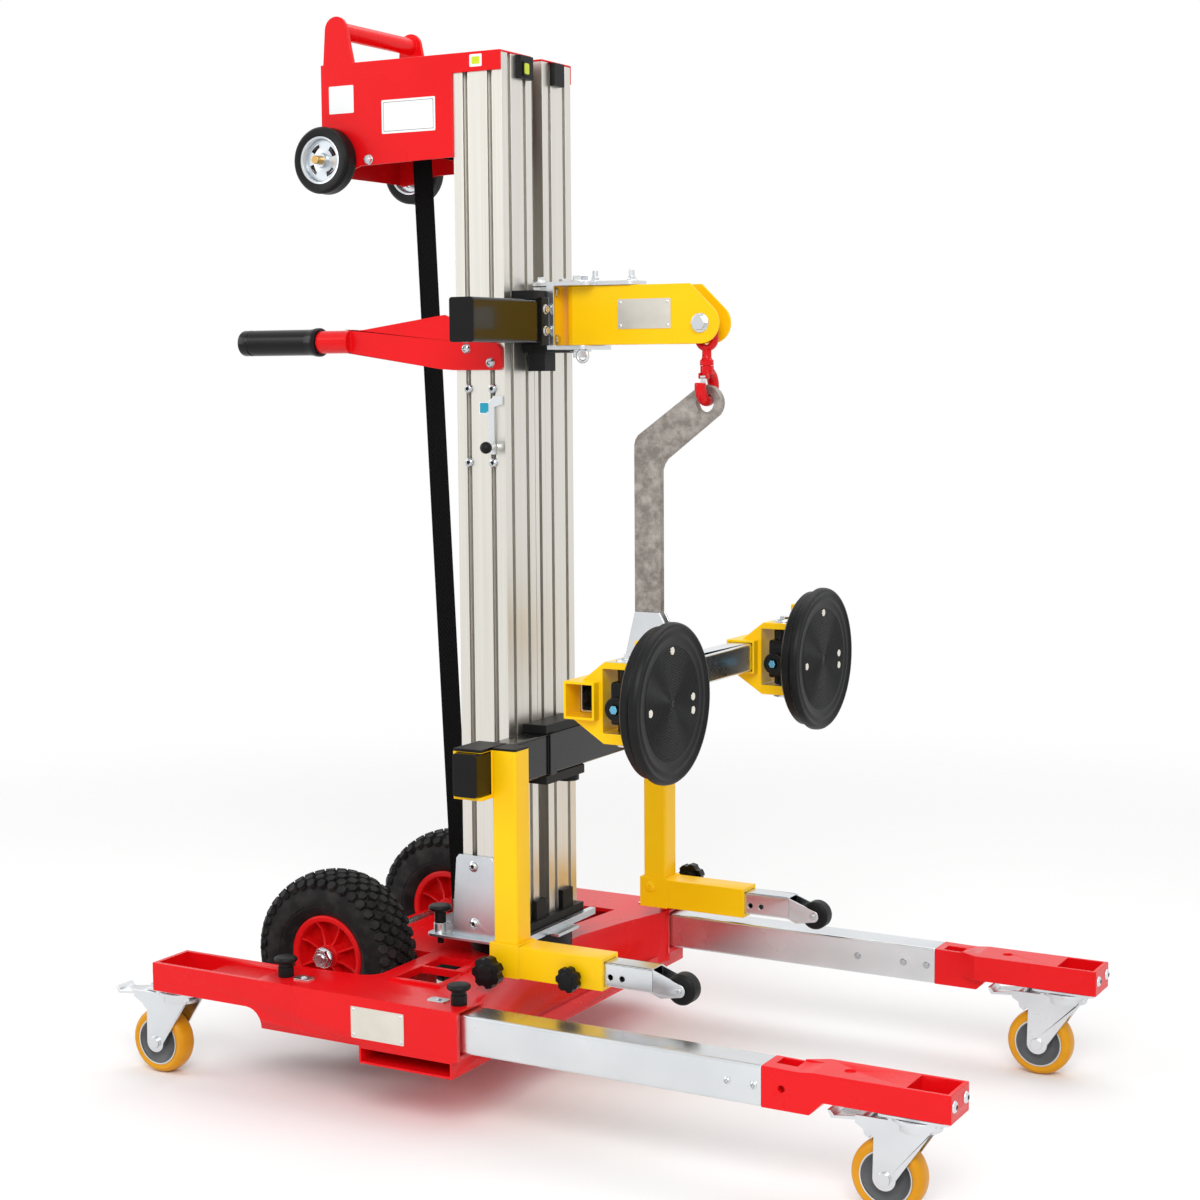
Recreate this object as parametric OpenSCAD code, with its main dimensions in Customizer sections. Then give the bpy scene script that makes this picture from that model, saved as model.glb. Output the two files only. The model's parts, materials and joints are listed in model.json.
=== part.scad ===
// Glass panel lifter: a wheeled chassis with two telescopic legs, a turning
// double-column mast and a carriage that carries a suction frame and a pair of
// carrying forks. Millimetres, +X towards the load, +Y to the left, +Z up.
// The origin is on the floor at the middle of the machine's outer box.

/* [Chassis] */
// Width over the two side beams
chassis_w = 675; // [660:1:720]
// Length of the side beams
chassis_len = 522; // [510:1:560]
// Height of the deck above the floor
deck_z = 173; // [170:1:176]
// Width of a side beam
beam_w = 63; // [60:1:68]
// Depth of a side beam where it holds the leg
beam_h = 68.5; // [66:0.5:72]
// Width of the rear arm that carries the caster
arm_w = 76; // [70:1:80]
// Length of the rear arm behind the step in the beam
rear_arm_len = 196; // [180:1:210]
// Thickness of the deck and the arm walls
deck_t = 6; // [4:0.5:7]
// Depth of the box between the beams
box_h = 80; // [70:1:90]
// Thickness of the box's side sheets
skirt_t = 5; // [3:0.5:6]

/* [Fork pocket] */
// Front-to-back width of the pocket under the chassis
pocket_w = 151; // [130:1:160]
// Height of the pocket
pocket_h = 24; // [20:1:30]
// Wall of the pocket
pocket_t = 3; // [2:0.5:4]

/* [Legs] */
// Width of the leg tube
leg_w = 47; // [44:1:50]
// Height of the leg tube
leg_h = 53; // [48:1:54]
// Wall of the leg tube
leg_t = 3; // [2:0.5:4]
// Length of leg tube in front of the beam
leg_reach = 439; // [400:1:470]
// Length of leg tube held inside the beam
leg_hold = 136; // [120:1:150]
// Length of the red leg end
leg_end_len = 246; // [235:1:260]
// Width of the leg end over its caster
leg_end_w = 62; // [58:1:66]
// Running gap round a sliding tube
slide_gap = 0.3; // [0.2:0.05:0.6]

/* [Casters] */
// Diameter of a caster wheel
caster_d = 95; // [88:1:97]
// Width of a caster wheel
caster_w = 32; // [28:1:34]
// Height from the floor to the caster's mounting face
caster_h = 132; // [130:1:134]
// Distance of the axle behind the swivel axis
caster_trail = 38; // [32:1:42]
// Diameter of the caster axle
caster_axle_d = 10; // [8:1:12]
// Thickness of the caster's mounting plate
caster_plate_t = 4; // [3:0.5:5]

/* [Tyres] */
// Diameter of a pneumatic tyre
tyre_d = 247; // [235:1:250]
// Width of a pneumatic tyre
tyre_w = 81; // [74:1:84]
// Diameter of the rim
rim_d = 118; // [110:1:124]
// Distance between the middles of the two tyres
tyre_track = 316; // [312:1:330]
// Height of the tyre axle
tyre_axle_z = 170; // [166:1:174]
// Diameter of the tyre axle
tyre_axle_d = 16; // [12:1:20]

/* [Mast] */
// Side of a square mast column
column_w = 80; // [80:1:84]
// Gap between the two columns
column_gap = 29; // [26:1:34]
// Height of the columns
column_len = 1251; // [1200:1:1300]
// Distance between neighbouring grooves
groove_pitch = 40; // [38:0.5:41]
// Mouth of a groove
groove_mouth = 8; // [7:0.5:9]
// Width inside a groove
groove_in = 18; // [14:1:20]
// Depth of a groove
groove_depth = 13; // [10:0.5:14]
// Thickness of a groove's lip
groove_lip = 4.5; // [3:0.5:5]
// Thickness of the mast's foot plate
foot_t = 4.5; // [3:0.5:6]
// Height of the turntable ring on the deck
ring_h = 26.5; // [24:0.5:30]

/* [Head housing] */
// Height of the housing
head_h = 146; // [130:1:155]
// Length of the housing behind the columns
head_len = 225; // [210:1:240]
// Thickness of the housing sheet
head_t = 3; // [2:0.5:4]
// Height of the carry handle above the housing
carry_h = 67; // [58:1:76]
// Diameter of the carry handle's bar
carry_d = 25; // [20:1:30]
// Radius of the carry handle's ears
carry_ear_r = 19; // [16:1:22]
// Diameter of a loading wheel
loading_d = 95; // [85:1:105]
// Width of a loading wheel
loading_w = 28; // [22:1:30]
// Diameter of a loading wheel's axle
loading_axle_d = 12; // [10:1:14]

/* [Belt] */
// Width of the lifting belt
belt_w = 47; // [40:1:50]
// Thickness of the lifting belt
belt_t = 3; // [2:0.5:4]
// Diameter of the belt drum
drum_d = 80; // [70:1:90]

/* [Side handle] */
// Height of the handle's tube
handle_z = 1062; // [1040:1:1075]
// Diameter of the handle's tube
handle_tube_d = 33; // [28:1:36]
// Diameter of the grip
grip_d = 38; // [36:1:44]
// Length of the grip
grip_len = 144; // [120:1:160]
// Thickness of the handle's plate
handle_t = 6; // [4:0.5:8]

/* [Carriage] */
// Length of the carriage profile
carriage_len = 646; // [630:1:660]
// Width of a crossbar
bar_x = 38; // [34:1:40]
// Height of a crossbar
bar_z = 60; // [54:1:62]
// Length of the upper crossbar
upper_bar_len = 470; // [460:1:500]
// Length of the lower crossbar
lower_bar_len = 484; // [480:1:500]
// Wall of a crossbar
bar_t = 3; // [2:0.5:4]
// Thickness of a guide saddle
saddle_t = 13; // [10:0.5:15]

/* [Load arm] */
// Length of the arm in front of its pivot
arm_len = 228; // [215:1:240]
// Height of the arm
arm_h = 82; // [76:1:86]
// Width over the arm's side plates
arm_side_w = 40; // [38:1:44]
// Thickness of the arm's plates
arm_t = 4; // [3:0.5:5]
// Diameter of the arm's upright pivot pin
arm_pin_d = 16; // [12:1:18]
// Diameter of the pin that carries the swivel
swivel_pin_d = 14; // [10:1:16]

/* [Hook] */
// Diameter of the hook's round section
hook_d = 16; // [12:1:16]
// Radius of the hook's bowl along its middle
hook_r = 20; // [20:1:22]

/* [Suction frame] */
// Thickness of the hanger bar
hanger_t = 12; // [8:1:12]
// Width of the hanger bar
hanger_w = 41; // [36:1:46]
// Front-to-back width of the pad beam
pad_beam_x = 38; // [34:1:40]
// Height of the pad beam
pad_beam_z = 42; // [38:1:44]
// Length of the pad beam
pad_beam_len = 476; // [460:1:500]
// Wall of the pad beam
pad_beam_t = 3; // [2:0.5:4]
// Distance between the middles of the two pads
pad_track = 484; // [476:1:496]
// Diameter of a suction pad
pad_d = 210; // [190:1:220]
// Wall of a pad head's sleeve
pad_sleeve_t = 3.5; // [2.5:0.5:5]

/* [Carrying forks] */
// Side of the square post
post_w = 38; // [36:1:40]
// Wall of the post
post_t = 3; // [2:0.5:4]
// Wall of the sleeve round the post
sleeve_t = 4; // [3:0.5:5]
// Height of the fork tube
fork_h = 44; // [42:1:46]
// Length of the fork tube
fork_len = 131; // [120:1:140]
// Side of the square extension
extension_w = 33; // [30:1:34]
// Length of the extension outside the fork tube
extension_out = 73; // [60:1:80]
// Length of the extension inside the fork tube
extension_in = 100; // [80:1:110]
// Diameter of the fork's roller
roller_d = 42; // [38:1:46]
// Width of the fork's roller
roller_w = 24; // [20:1:26]
// Diameter of a star knob
knob_d = 44; // [38:1:46]

/* [Hidden] */
$fn = 48;

red = [0.80, 0.05, 0.07];
yellow = [0.98, 0.75, 0.05];
zinc = [0.78, 0.80, 0.82];
alu = [0.80, 0.79, 0.76];
black = [0.08, 0.08, 0.09];
dark = [0.20, 0.20, 0.22];
steel_grey = [0.45, 0.44, 0.44];
polyurethane = [0.90, 0.60, 0.10];

// Small gap between faces of two moving pieces
face_gap = 0.3;
// Radial gap of a pin in its hole
pin_gap = 0.05;
// Length that makes a cut go clear through a face
cut = 1;
// Outer corner radius of the drawn square tubes
tube_r = 4;

// Places along X are counted from the front end of the side beams and then
// moved so that the origin lies in the middle of the machine's outer box.
swivel_rear_x = -chassis_len + 23;
swivel_front_x = leg_reach + leg_end_len - 50;
pedal_reach = 114;
bolt_head_h = 4;
front_x = leg_reach + leg_end_len + bolt_head_h;
rear_x = swivel_rear_x - pedal_reach;
origin_x = (front_x + rear_x) / 2;

half_w = chassis_w / 2;
beam_in_y = half_w - beam_w;
arm_in_y = half_w - arm_w;
beam_bottom_z = deck_z - beam_h;
arm_bottom_z = caster_h;
step_x = -chassis_len + rear_arm_len;
box_bottom_z = deck_z - box_h;
tyre_x = -324;
notch_front_x = tyre_x + tyre_d / 2 + 6;
spine_y = tyre_track / 2 - tyre_w / 2 - 14;
pocket_front_x = -8;

leg_y = half_w - 11.5 - leg_w / 2;
leg_bottom_z = beam_bottom_z + 9.5;
leg_top_z = leg_bottom_z + leg_h;
caster_y_front = leg_y + leg_w / 2 - leg_end_w / 2;
caster_y_rear = half_w - arm_w / 2;
caster_plate_l = 92;
caster_plate_w = 60;
king_d = 14;
pedal_pivot = 68;
pedal_pin_d = 6;

plunger_hole_d = 9;
plunger_pin_d = plunger_hole_d - 2 * pin_gap;
plunger_front_x = -18;
plunger_rear_x = -308;
plunger_y = leg_y;
plunger_neck_z = deck_z + 14;
leg_pin_len = plunger_neck_z - leg_top_z - slide_gap;
index_x = -184;
index_y = -96;
index_pin_len = 31;

mast_x = -103.5;
foot_z = deck_z + ring_h + face_gap;
column_z = foot_z + foot_t;
column_top = column_z + column_len;
column_y = (column_gap + column_w) / 2;
mast_front = mast_x + column_w / 2;
mast_back = mast_x - column_w / 2;
outer_y = column_y + column_w / 2;
spigot_d = 40;

head_top = column_top + head_t;
head_overlap = 24;
head_bottom = head_top - head_h;
head_back = mast_back - head_len;
head_y = outer_y + head_t;
carry_x = head_back + 27.5;
carry_z = head_top + carry_h - carry_ear_r;
loading_x = head_back + 17;
loading_z = head_bottom + 8.5;
loading_y = head_y + 3 + loading_w / 2;

drum_x = -222;
drum_z = head_bottom + 62;
drum_axle_d = 12;
belt_tilt = 2.72;
belt_foot_x = -209;
handle_y = -(outer_y + handle_t / 2);
grip_end_x = -375;
grip_wall = 6;

bar_back = mast_front + face_gap;
bar_mid_x = bar_back + bar_x / 2;
lower_bar_z = 471.5;
carriage_z = lower_bar_z + 3.5;
upper_bar_z = carriage_z + carriage_len - 34;
carriage_gap = 0.4;

arm_pivot_x = 5;
arm_z = upper_bar_z - 33;
arm_top = arm_z + arm_h;
load_x = arm_pivot_x + arm_len - 29;
load_pin_z = arm_z + 28;
hook_z = arm_z - 78;
hook_neck_z = hook_z + 2 * hook_r + 2;
hook_tip_angle = 100;
latch_pin_d = 2.4;
latch_half = 4;
latch_t = 2.5;
latch_y = -(hook_r - hook_d / 2 - face_gap) + latch_t / 2;
latch_z = hook_z + hook_r + 12.5;
eye_bore_r = 13;
eye_lift = 1.9;
eye_z = hook_z + hook_d / 2 + eye_lift - eye_bore_r;

hanger_front_x = 134;
pad_beam_mid_x = 155;
pad_beam_mid_z = hook_z - 383;
pad_y = pad_track / 2;
head_w = 66;
sleeve_front_x = pad_beam_mid_x + pad_beam_x / 2 + slide_gap + pad_sleeve_t;
pad_pivot_x = 212;
pad_face_x = 278;
nose_x = 234;

post_x = -5;
post_bottom = 188;
post_top = 506;
post_near_y = -185;
post_far_y = min(lower_bar_len / 2 + 12, plunger_y - 48.5);
sleeve_h = 47;
fork_z = 211;
roller_x = 261;
roller_z = 203;

knob_near = [-16, post_bottom + 12];
knob_far = [25, post_bottom + 36];
knob_stem = 12;

// Moves a shape from the beam ends' frame to the part's frame
module place() {
    translate([-origin_x, 0, 0]) children();
}

// Mirrors a near-side shape to the far side when side is +1
module side(s) {
    if (s > 0) mirror([0, 1, 0]) children();
    else children();
}

// Box from its lowest corner and its size
module box(x0, y0, z0, x1, y1, z1) {
    translate([x0, y0, z0]) cube([x1 - x0, y1 - y0, z1 - z0]);
}

// Extrudes an outline drawn in X and Z along Y from y0 to y1
module along_y(y0, y1) {
    translate([0, y1, 0]) rotate([90, 0, 0]) linear_extrude(y1 - y0) children();
}

// Extrudes an outline drawn in Y and Z along X from x0 to x1
module along_x(x0, x1) {
    translate([x0, 0, 0]) rotate([90, 0, 90]) linear_extrude(x1 - x0) children();
}

// Round bar along Y
module rod_y(x, z, d, y0, y1) {
    translate([x, y0, z]) rotate([-90, 0, 0]) cylinder(d = d, h = y1 - y0);
}

// Round bar along X
module rod_x(y, z, d, x0, x1) {
    translate([x0, y, z]) rotate([0, 90, 0]) cylinder(d = d, h = x1 - x0);
}

// Round bar along Z
module rod_z(x, y, d, z0, z1) {
    translate([x, y, z0]) cylinder(d = d, h = z1 - z0);
}

// Rounded rectangle drawn flat from two corners
module rounded_rect(x0, y0, x1, y1, r) {
    translate([x0 + r, y0]) square([x1 - x0 - 2 * r, y1 - y0]);
    translate([x0, y0 + r]) square([x1 - x0, y1 - y0 - 2 * r]);
    for (x = [x0 + r, x1 - r], y = [y0 + r, y1 - r]) translate([x, y]) circle(r);
}

// Section of a drawn tube: width, height, wall
module tube_section(w, h, t) {
    difference() {
        rounded_rect(-w / 2, -h / 2, w / 2, h / 2, tube_r, $fn = 24);
        rounded_rect(-w / 2 + t, -h / 2 + t, w / 2 - t, h / 2 - t, tube_r - t + 0.5, $fn = 24);
    }
}

// Points of an arc, for outlines
function arc_points(cx, cy, r, a0, a1, n) =
    [for (i = [0:n]) let (a = a0 + (a1 - a0) * i / n) [cx + r * cos(a), cy + r * sin(a)]];

// Hexagon bolt head with a small washer, standing on z = 0
module bolt_head(d, h) {
    cylinder(d = d * 1.9, h = h * 0.25);
    cylinder(d = d * 1.55, h = h, $fn = 6);
}

// Button head with a socket, standing on z = 0
module button_head(d, h) {
    difference() {
        rotate_extrude() {
            polygon(concat([[0, 0]], [for (i = [0:6]) let (a = i * 15) [d / 2 * cos(a), h * sin(a)]]));
        }
        translate([0, 0, h * 0.45]) cylinder(d = d * 0.4, h = h, $fn = 6);
    }
}

// Star knob with lobes, standing on z = 0
module star_knob(d, h) {
    lobes = 7;
    cylinder(d = d * 0.55, h = h);
    translate([0, 0, h * 0.3]) {
        difference() {
            cylinder(d = d, h = h * 0.6);
            for (i = [0:lobes - 1])
                rotate(i * 360 / lobes) translate([d * 0.56, 0, -cut]) cylinder(d = d * 0.26, h = h + 2 * cut);
        }
    }
}

// Outline of a mast column: a square with two grooves on each side
module groove_outline(depth) {
    polygon([
        [-groove_mouth / 2, cut], [-groove_mouth / 2, -groove_lip], [-groove_in / 2, -groove_lip],
        [-groove_in / 2, -groove_lip - (depth - groove_lip) * 0.35], [-groove_mouth / 2, -depth],
        [groove_mouth / 2, -depth], [groove_in / 2, -groove_lip - (depth - groove_lip) * 0.35],
        [groove_in / 2, -groove_lip], [groove_mouth / 2, -groove_lip], [groove_mouth / 2, cut]
    ]);
}

module column_outline() {
    core = 26;
    difference() {
        square(column_w, center = true);
        for (a = [0:90:270], k = [-0.5, 0.5])
            rotate(a) translate([k * groove_pitch, column_w / 2]) groove_outline(groove_depth);
        square([core, core], center = true);
        for (x = [-0.5, 0.5], y = [-0.5, 0.5])
            translate([x * groove_pitch, y * groove_pitch]) circle(d = 7);
    }
}

// Side outline of a beam with the step down from the rear arm
module beam_outline() {
    step_r = 27;
    polygon(concat(
        [[-chassis_len, arm_bottom_z], [-chassis_len, deck_z], [0, deck_z], [0, beam_bottom_z],
         [step_x, beam_bottom_z]],
        arc_points(step_x - step_r, arm_bottom_z - step_r, step_r, 0, 90, 6)
    ));
}

// Deck outline between the beams, one half, as seen from above
module deck_half() {
    corner = 30;
    polygon(concat(
        [[0, beam_in_y + 2], [-4, beam_in_y - 8], [-30, 175], [-50, 80], [-50, -1], [notch_front_x - 150, -1],
         [notch_front_x - 150, spine_y], [notch_front_x - 1, spine_y]],
        arc_points(notch_front_x - corner, arm_in_y - corner - 14, corner, 20, 90, 6),
        [[step_x - 20, arm_in_y - 6], [step_x - 20, arm_in_y + 4], [step_x, beam_in_y + 2]]
    ));
}

module deck_outline() {
    deck_half();
    mirror([0, 1]) deck_half();
}

// Windows in the near half of the deck
module near_windows() {
    translate([-160, -244]) square([70, 62]);
    translate([-160, -176]) square([54, 46]);
}

// Curved window in the far half of the deck, following the mast's swing
module far_window() {
    intersection() {
        difference() {
            translate([mast_x, 0]) circle(r = 242);
            translate([mast_x, 0]) circle(r = 136);
        }
        polygon([[-190, 120], [-92, 120], [-78, 250], [-190, 250]]);
    }
}

module beam(s) {
    side(s) {
        difference() {
            union() {
                along_y(-half_w, -beam_in_y) beam_outline();
                box(-chassis_len, -half_w, arm_bottom_z, step_x, -arm_in_y, deck_z);
            }
            // bore for the leg tube
            box(-334, -leg_y - leg_w / 2 - slide_gap, leg_bottom_z - slide_gap,
                cut, -leg_y + leg_w / 2 + slide_gap, leg_top_z + slide_gap);
            // wider mouth that shows as a dark line round the leg
            box(-8, -leg_y - leg_w / 2 - 3, leg_bottom_z - 3,
                cut, -leg_y + leg_w / 2 + 3, leg_top_z + 2.5);
            // open trough of the rear arm
            along_y(-half_w + deck_t, -arm_in_y - deck_t)
                polygon([[-chassis_len + deck_t, deck_z + cut], [-chassis_len + deck_t, arm_bottom_z + deck_t],
                         [-chassis_len + 78, arm_bottom_z + deck_t], [-chassis_len + 88, deck_z - 7],
                         [step_x - 24, deck_z - 7], [step_x - 6, deck_z + cut]]);
            // holes for the two leg plungers
            for (x = [plunger_front_x, plunger_rear_x])
                rod_z(x, -plunger_y, plunger_hole_d, leg_top_z - cut, deck_z + cut);
        }
    }
}

module chassis_frame() {
    color(red) place() {
        for (s = [-1, 1]) beam(s);
        difference() {
            translate([0, 0, box_bottom_z]) linear_extrude(box_h) deck_outline();
            // the box is open below
            translate([0, 0, box_bottom_z - cut]) linear_extrude(box_h - deck_t + cut)
                offset(delta = -skirt_t) deck_outline();
            translate([0, 0, box_bottom_z]) linear_extrude(box_h + 10) near_windows();
            translate([0, 0, box_bottom_z]) linear_extrude(box_h + 10) far_window();
            rod_y(tyre_x, tyre_axle_z, tyre_axle_d, -spine_y - cut, spine_y + cut);
            pocket_block();
        }
        // raised frame round the near windows
        translate([0, 0, deck_z]) linear_extrude(4) difference() {
            polygon([[-168, -252], [-168, -124], [-98, -124], [-82, -252]]);
            near_windows();
        }
        // weld beads at the front skirt
        for (s = [-1, 1]) side(s) box(-14, -beam_in_y, beam_bottom_z, 0, -beam_in_y + 4, deck_z - deck_t);
        fork_pocket();
    }
}

// Rectangular tube across the chassis for a pallet truck's fork
module pocket_block() {
    box(pocket_front_x - pocket_w, -half_w, beam_bottom_z - pocket_h, pocket_front_x, half_w, beam_bottom_z);
}

module fork_pocket() {
    difference() {
        pocket_block();
        box(pocket_front_x - pocket_w + pocket_t, -half_w - cut, beam_bottom_z - pocket_h + pocket_t,
            pocket_front_x - pocket_t, half_w + cut, beam_bottom_z - pocket_t);
    }
}

// Zinc top plate of a caster with its king pin
module caster_plate() {
    translate([0, 0, caster_h - caster_plate_t]) linear_extrude(caster_plate_t)
        rounded_rect(-caster_plate_l / 2, -caster_plate_w / 2, caster_plate_l / 2, caster_plate_w / 2, 8);
    rod_z(0, 0, king_d, caster_h - 24, caster_h - caster_plate_t + cut);
    rod_z(0, 0, king_d + 10, caster_h - 24, caster_h - 20.4);
}

module chassis_fittings() {
    color(zinc) place() {
        for (s = [-1, 1]) side(s) {
            translate([swivel_rear_x, -caster_y_rear, 0]) caster_plate();
            // dome bolts at the rear end and on the deck
            translate([-chassis_len, -caster_y_rear - 22, arm_bottom_z + 25]) rotate([0, -90, 0]) bolt_head(10, 9);
            for (x = [-277, -52])
                translate([x, -half_w + 36, deck_z]) linear_extrude(1.5) scale([1.5, 1]) circle(d = 18);
            // guide barrels of the leg plungers
            for (x = [plunger_front_x, plunger_rear_x])
                translate([x, -plunger_y, deck_z]) difference() {
                    cylinder(d = 22, h = plunger_neck_z - deck_z);
                    translate([0, 0, -cut]) cylinder(d = plunger_hole_d, h = 30);
                }
            // axle collar and nut outside the tyre
            rod_y(tyre_x, tyre_axle_z, 24, -tyre_track / 2 - 34, -tyre_track / 2 - 27);
        }
        rod_y(tyre_x, tyre_axle_z, tyre_axle_d, -tyre_track / 2 - 44, tyre_track / 2 + 44);
        // turntable ring with the spigot that the mast turns on
        rod_z(mast_x, 0, 150, deck_z, deck_z + ring_h);
        rod_z(mast_x, 0, spigot_d, deck_z + ring_h - cut, foot_z + foot_t - 0.5);
    }
}

// Spring plunger with a mushroom knob
module plunger(x, y, pin_len) {
    place() translate([x, y, plunger_neck_z + face_gap]) {
        cylinder(d = 20, h = 6);
        translate([0, 0, 6]) rotate_extrude()
            polygon(concat([[0, 0], [10, 0]], arc_points(12.5, 4, 4, -90, 90, 6), [[0, 8]]));
        translate([0, 0, -pin_len]) cylinder(d = plunger_pin_d, h = pin_len + cut);
    }
}

module index_plunger() {
    color(black) place() translate([index_x, index_y, foot_z + foot_t + 14]) {
        translate([0, 0, face_gap]) cylinder(d = 17, h = 18);
        translate([0, 0, 18]) rotate_extrude()
            polygon(concat([[0, 0], [11, 0]], arc_points(13, 4, 4, -90, 90, 6), [[0, 8]]));
        translate([0, 0, -index_pin_len]) cylinder(d = plunger_pin_d, h = index_pin_len + cut);
    }
}

// One telescopic leg tube
module leg_tube(s) {
    color(zinc) place() side(s) {
        along_x(-leg_hold, leg_reach) translate([-leg_y, (leg_bottom_z + leg_top_z) / 2])
            tube_section(leg_w, leg_h, leg_t);
        // clamp screws of the leg end
        for (x = s < 0 ? [46, 10] : [104, 40, 9])
            translate([leg_reach - x, -leg_y - leg_w / 2, leg_bottom_z + leg_h / 2]) rotate([90, 0, 0]) button_head(9, 3);
    }
}

// Red end of a leg: a box that drops onto its caster, open on top at the tip
module leg_end(s) {
    x0 = leg_reach;
    x1 = leg_reach + leg_end_len;
    y0 = -leg_y - leg_w / 2;
    top = caster_h + 36;
    place() side(s) {
        color(red) difference() {
            union() {
                along_y(y0, y0 + leg_w) polygon([
                    [x0, leg_bottom_z], [x0, leg_top_z], [x0 + 50, leg_top_z - 1], [x0 + 68, top], [x1, top],
                    [x1, caster_h], [x0 + 82, caster_h], [x0 + 64, leg_bottom_z]]);
                translate([0, 0, caster_h]) linear_extrude(top - caster_h) polygon([
                    [x0 + 40, y0 + leg_w], [x0 + 66, y0 + leg_end_w], [x1, y0 + leg_end_w],
                    [x1, y0 + leg_w - 2], [x0 + 40, y0 + leg_w - 2]]);
            }
            // open tip
            box(x1 - 58, y0 + deck_t - 1, caster_h + deck_t, x1 - deck_t, y0 + leg_end_w - deck_t + 1, top + cut);
            // square window and pin hole near the tube
            box(x0 + 12, y0 + 20, leg_top_z - 16, x0 + 40, y0 + 42, leg_top_z + cut);
            rod_y(x0 + 27, leg_bottom_z + 27, 9, y0 - cut, y0 + 12);
            rod_z(x0 + 106, y0 + 30, 14, top - 3, top + cut);
        }
        color(zinc) {
            translate([swivel_front_x, -caster_y_front, 0]) caster_plate();
            for (y = [y0 + 10, y0 + leg_end_w - 12])
                translate([x1, y, caster_h + 20]) rotate([0, 90, 0]) button_head(15, bolt_head_h);
        }
    }
}

// Fork of a caster, centred on its swivel axis and open to the wheel
module caster_fork(x, y) {
    leg_gap = caster_w / 2 + 1.5;
    leg_sheet = 3;
    head_z = caster_h - caster_plate_t - face_gap;
    axle_z = caster_d / 2;
    place() translate([x, y, 0]) {
        difference() {
            union() {
                rod_z(0, 0, 70, head_z - 5, head_z);
                translate([-34, -leg_gap - leg_sheet, head_z - 11]) cube([62, 2 * (leg_gap + leg_sheet), 8]);
                rod_z(0, 0, 56, head_z - 16, head_z - 4);
            }
            rod_z(0, 0, king_d + 2 * pin_gap, head_z - 30, head_z + cut);
            rod_z(0, 0, king_d + 12, head_z - 30, caster_h - 19.8);
        }
        for (s = [-1, 1]) {
            y0 = s > 0 ? leg_gap : -leg_gap - leg_sheet;
            along_y(y0, y0 + leg_sheet) {
                polygon([[-76, head_z - 6], [28, head_z - 5], [20, head_z - 16], [-caster_trail + 15, axle_z],
                         [-caster_trail - 15, axle_z], [-52, head_z - 30], [-76, head_z - 16]]);
                translate([-caster_trail, axle_z]) circle(15);
            }
        }
        rod_y(-caster_trail, axle_z, caster_axle_d, -leg_gap - leg_sheet - 4, leg_gap + leg_sheet + 4);
        for (s = [-1, 1]) rod_y(-caster_trail, axle_z, caster_axle_d + 7,
            s > 0 ? leg_gap + leg_sheet - 0.5 : -leg_gap - leg_sheet - 4,
            s > 0 ? leg_gap + leg_sheet + 4 : -leg_gap - leg_sheet + 0.5);
        rod_y(-pedal_pivot, head_z - 14, pedal_pin_d, -leg_gap - leg_sheet, leg_gap + leg_sheet);
    }
}

// Brake pedal behind a caster's fork
module brake_pedal(x, y) {
    head_z = caster_h - caster_plate_t - face_gap;
    pivot_z = head_z - 14;
    shoe_x = caster_trail - pedal_pivot + 6;
    shoe_z = caster_d / 2 + sqrt(caster_d * caster_d / 4 - shoe_x * shoe_x) + 2.5;
    half = caster_w / 2 + 0.5;
    place() translate([x, y, 0]) difference() {
        union() {
            // foot plate with its raised lip
            along_y(-half, half) polygon([
                [-pedal_pivot, pivot_z + 6], [-pedal_pivot - 8, pivot_z + 5], [-pedal_reach + 9, pivot_z + 1],
                [-pedal_reach + 4, pivot_z + 7], [-pedal_reach, pivot_z + 7], [-pedal_reach + 5, pivot_z - 3],
                [-pedal_pivot - 8, pivot_z]]);
            // shoe over the tread
            along_y(-10, 10) polygon([
                [-pedal_pivot + 6, pivot_z], [-pedal_pivot - 4, pivot_z - 4], [-pedal_pivot, shoe_z + 4],
                [-pedal_pivot + 6, shoe_z], [-pedal_pivot + 10, shoe_z + 5]]);
            rod_y(-pedal_pivot, pivot_z, pedal_pin_d + 8, -half, half);
        }
        rod_y(-pedal_pivot, pivot_z, pedal_pin_d + 2 * pin_gap, -half - cut, half + cut);
    }
}

// Caster wheel: hub, rim and tread in one turned shape with a recess each side
module caster_wheel(x, y) {
    r = caster_d / 2;
    w = caster_w / 2;
    color(polyurethane) place() translate([x - caster_trail, y, r]) rotate([90, 0, 0])
        rotate_extrude($fn = 64) polygon([
            [caster_axle_d / 2 + pin_gap, -w - 1], [10, -w - 1], [12, -w + 4], [r - 15, -w + 6], [r - 12, -w],
            [r - 4, -w], [r - 1, -w + 5], [r, -w + 10], [r, w - 10], [r - 1, w - 5], [r - 4, w], [r - 12, w],
            [r - 15, w - 6], [12, w - 4], [10, w + 1], [caster_axle_d / 2 + pin_gap, w + 1]]);
}

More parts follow.
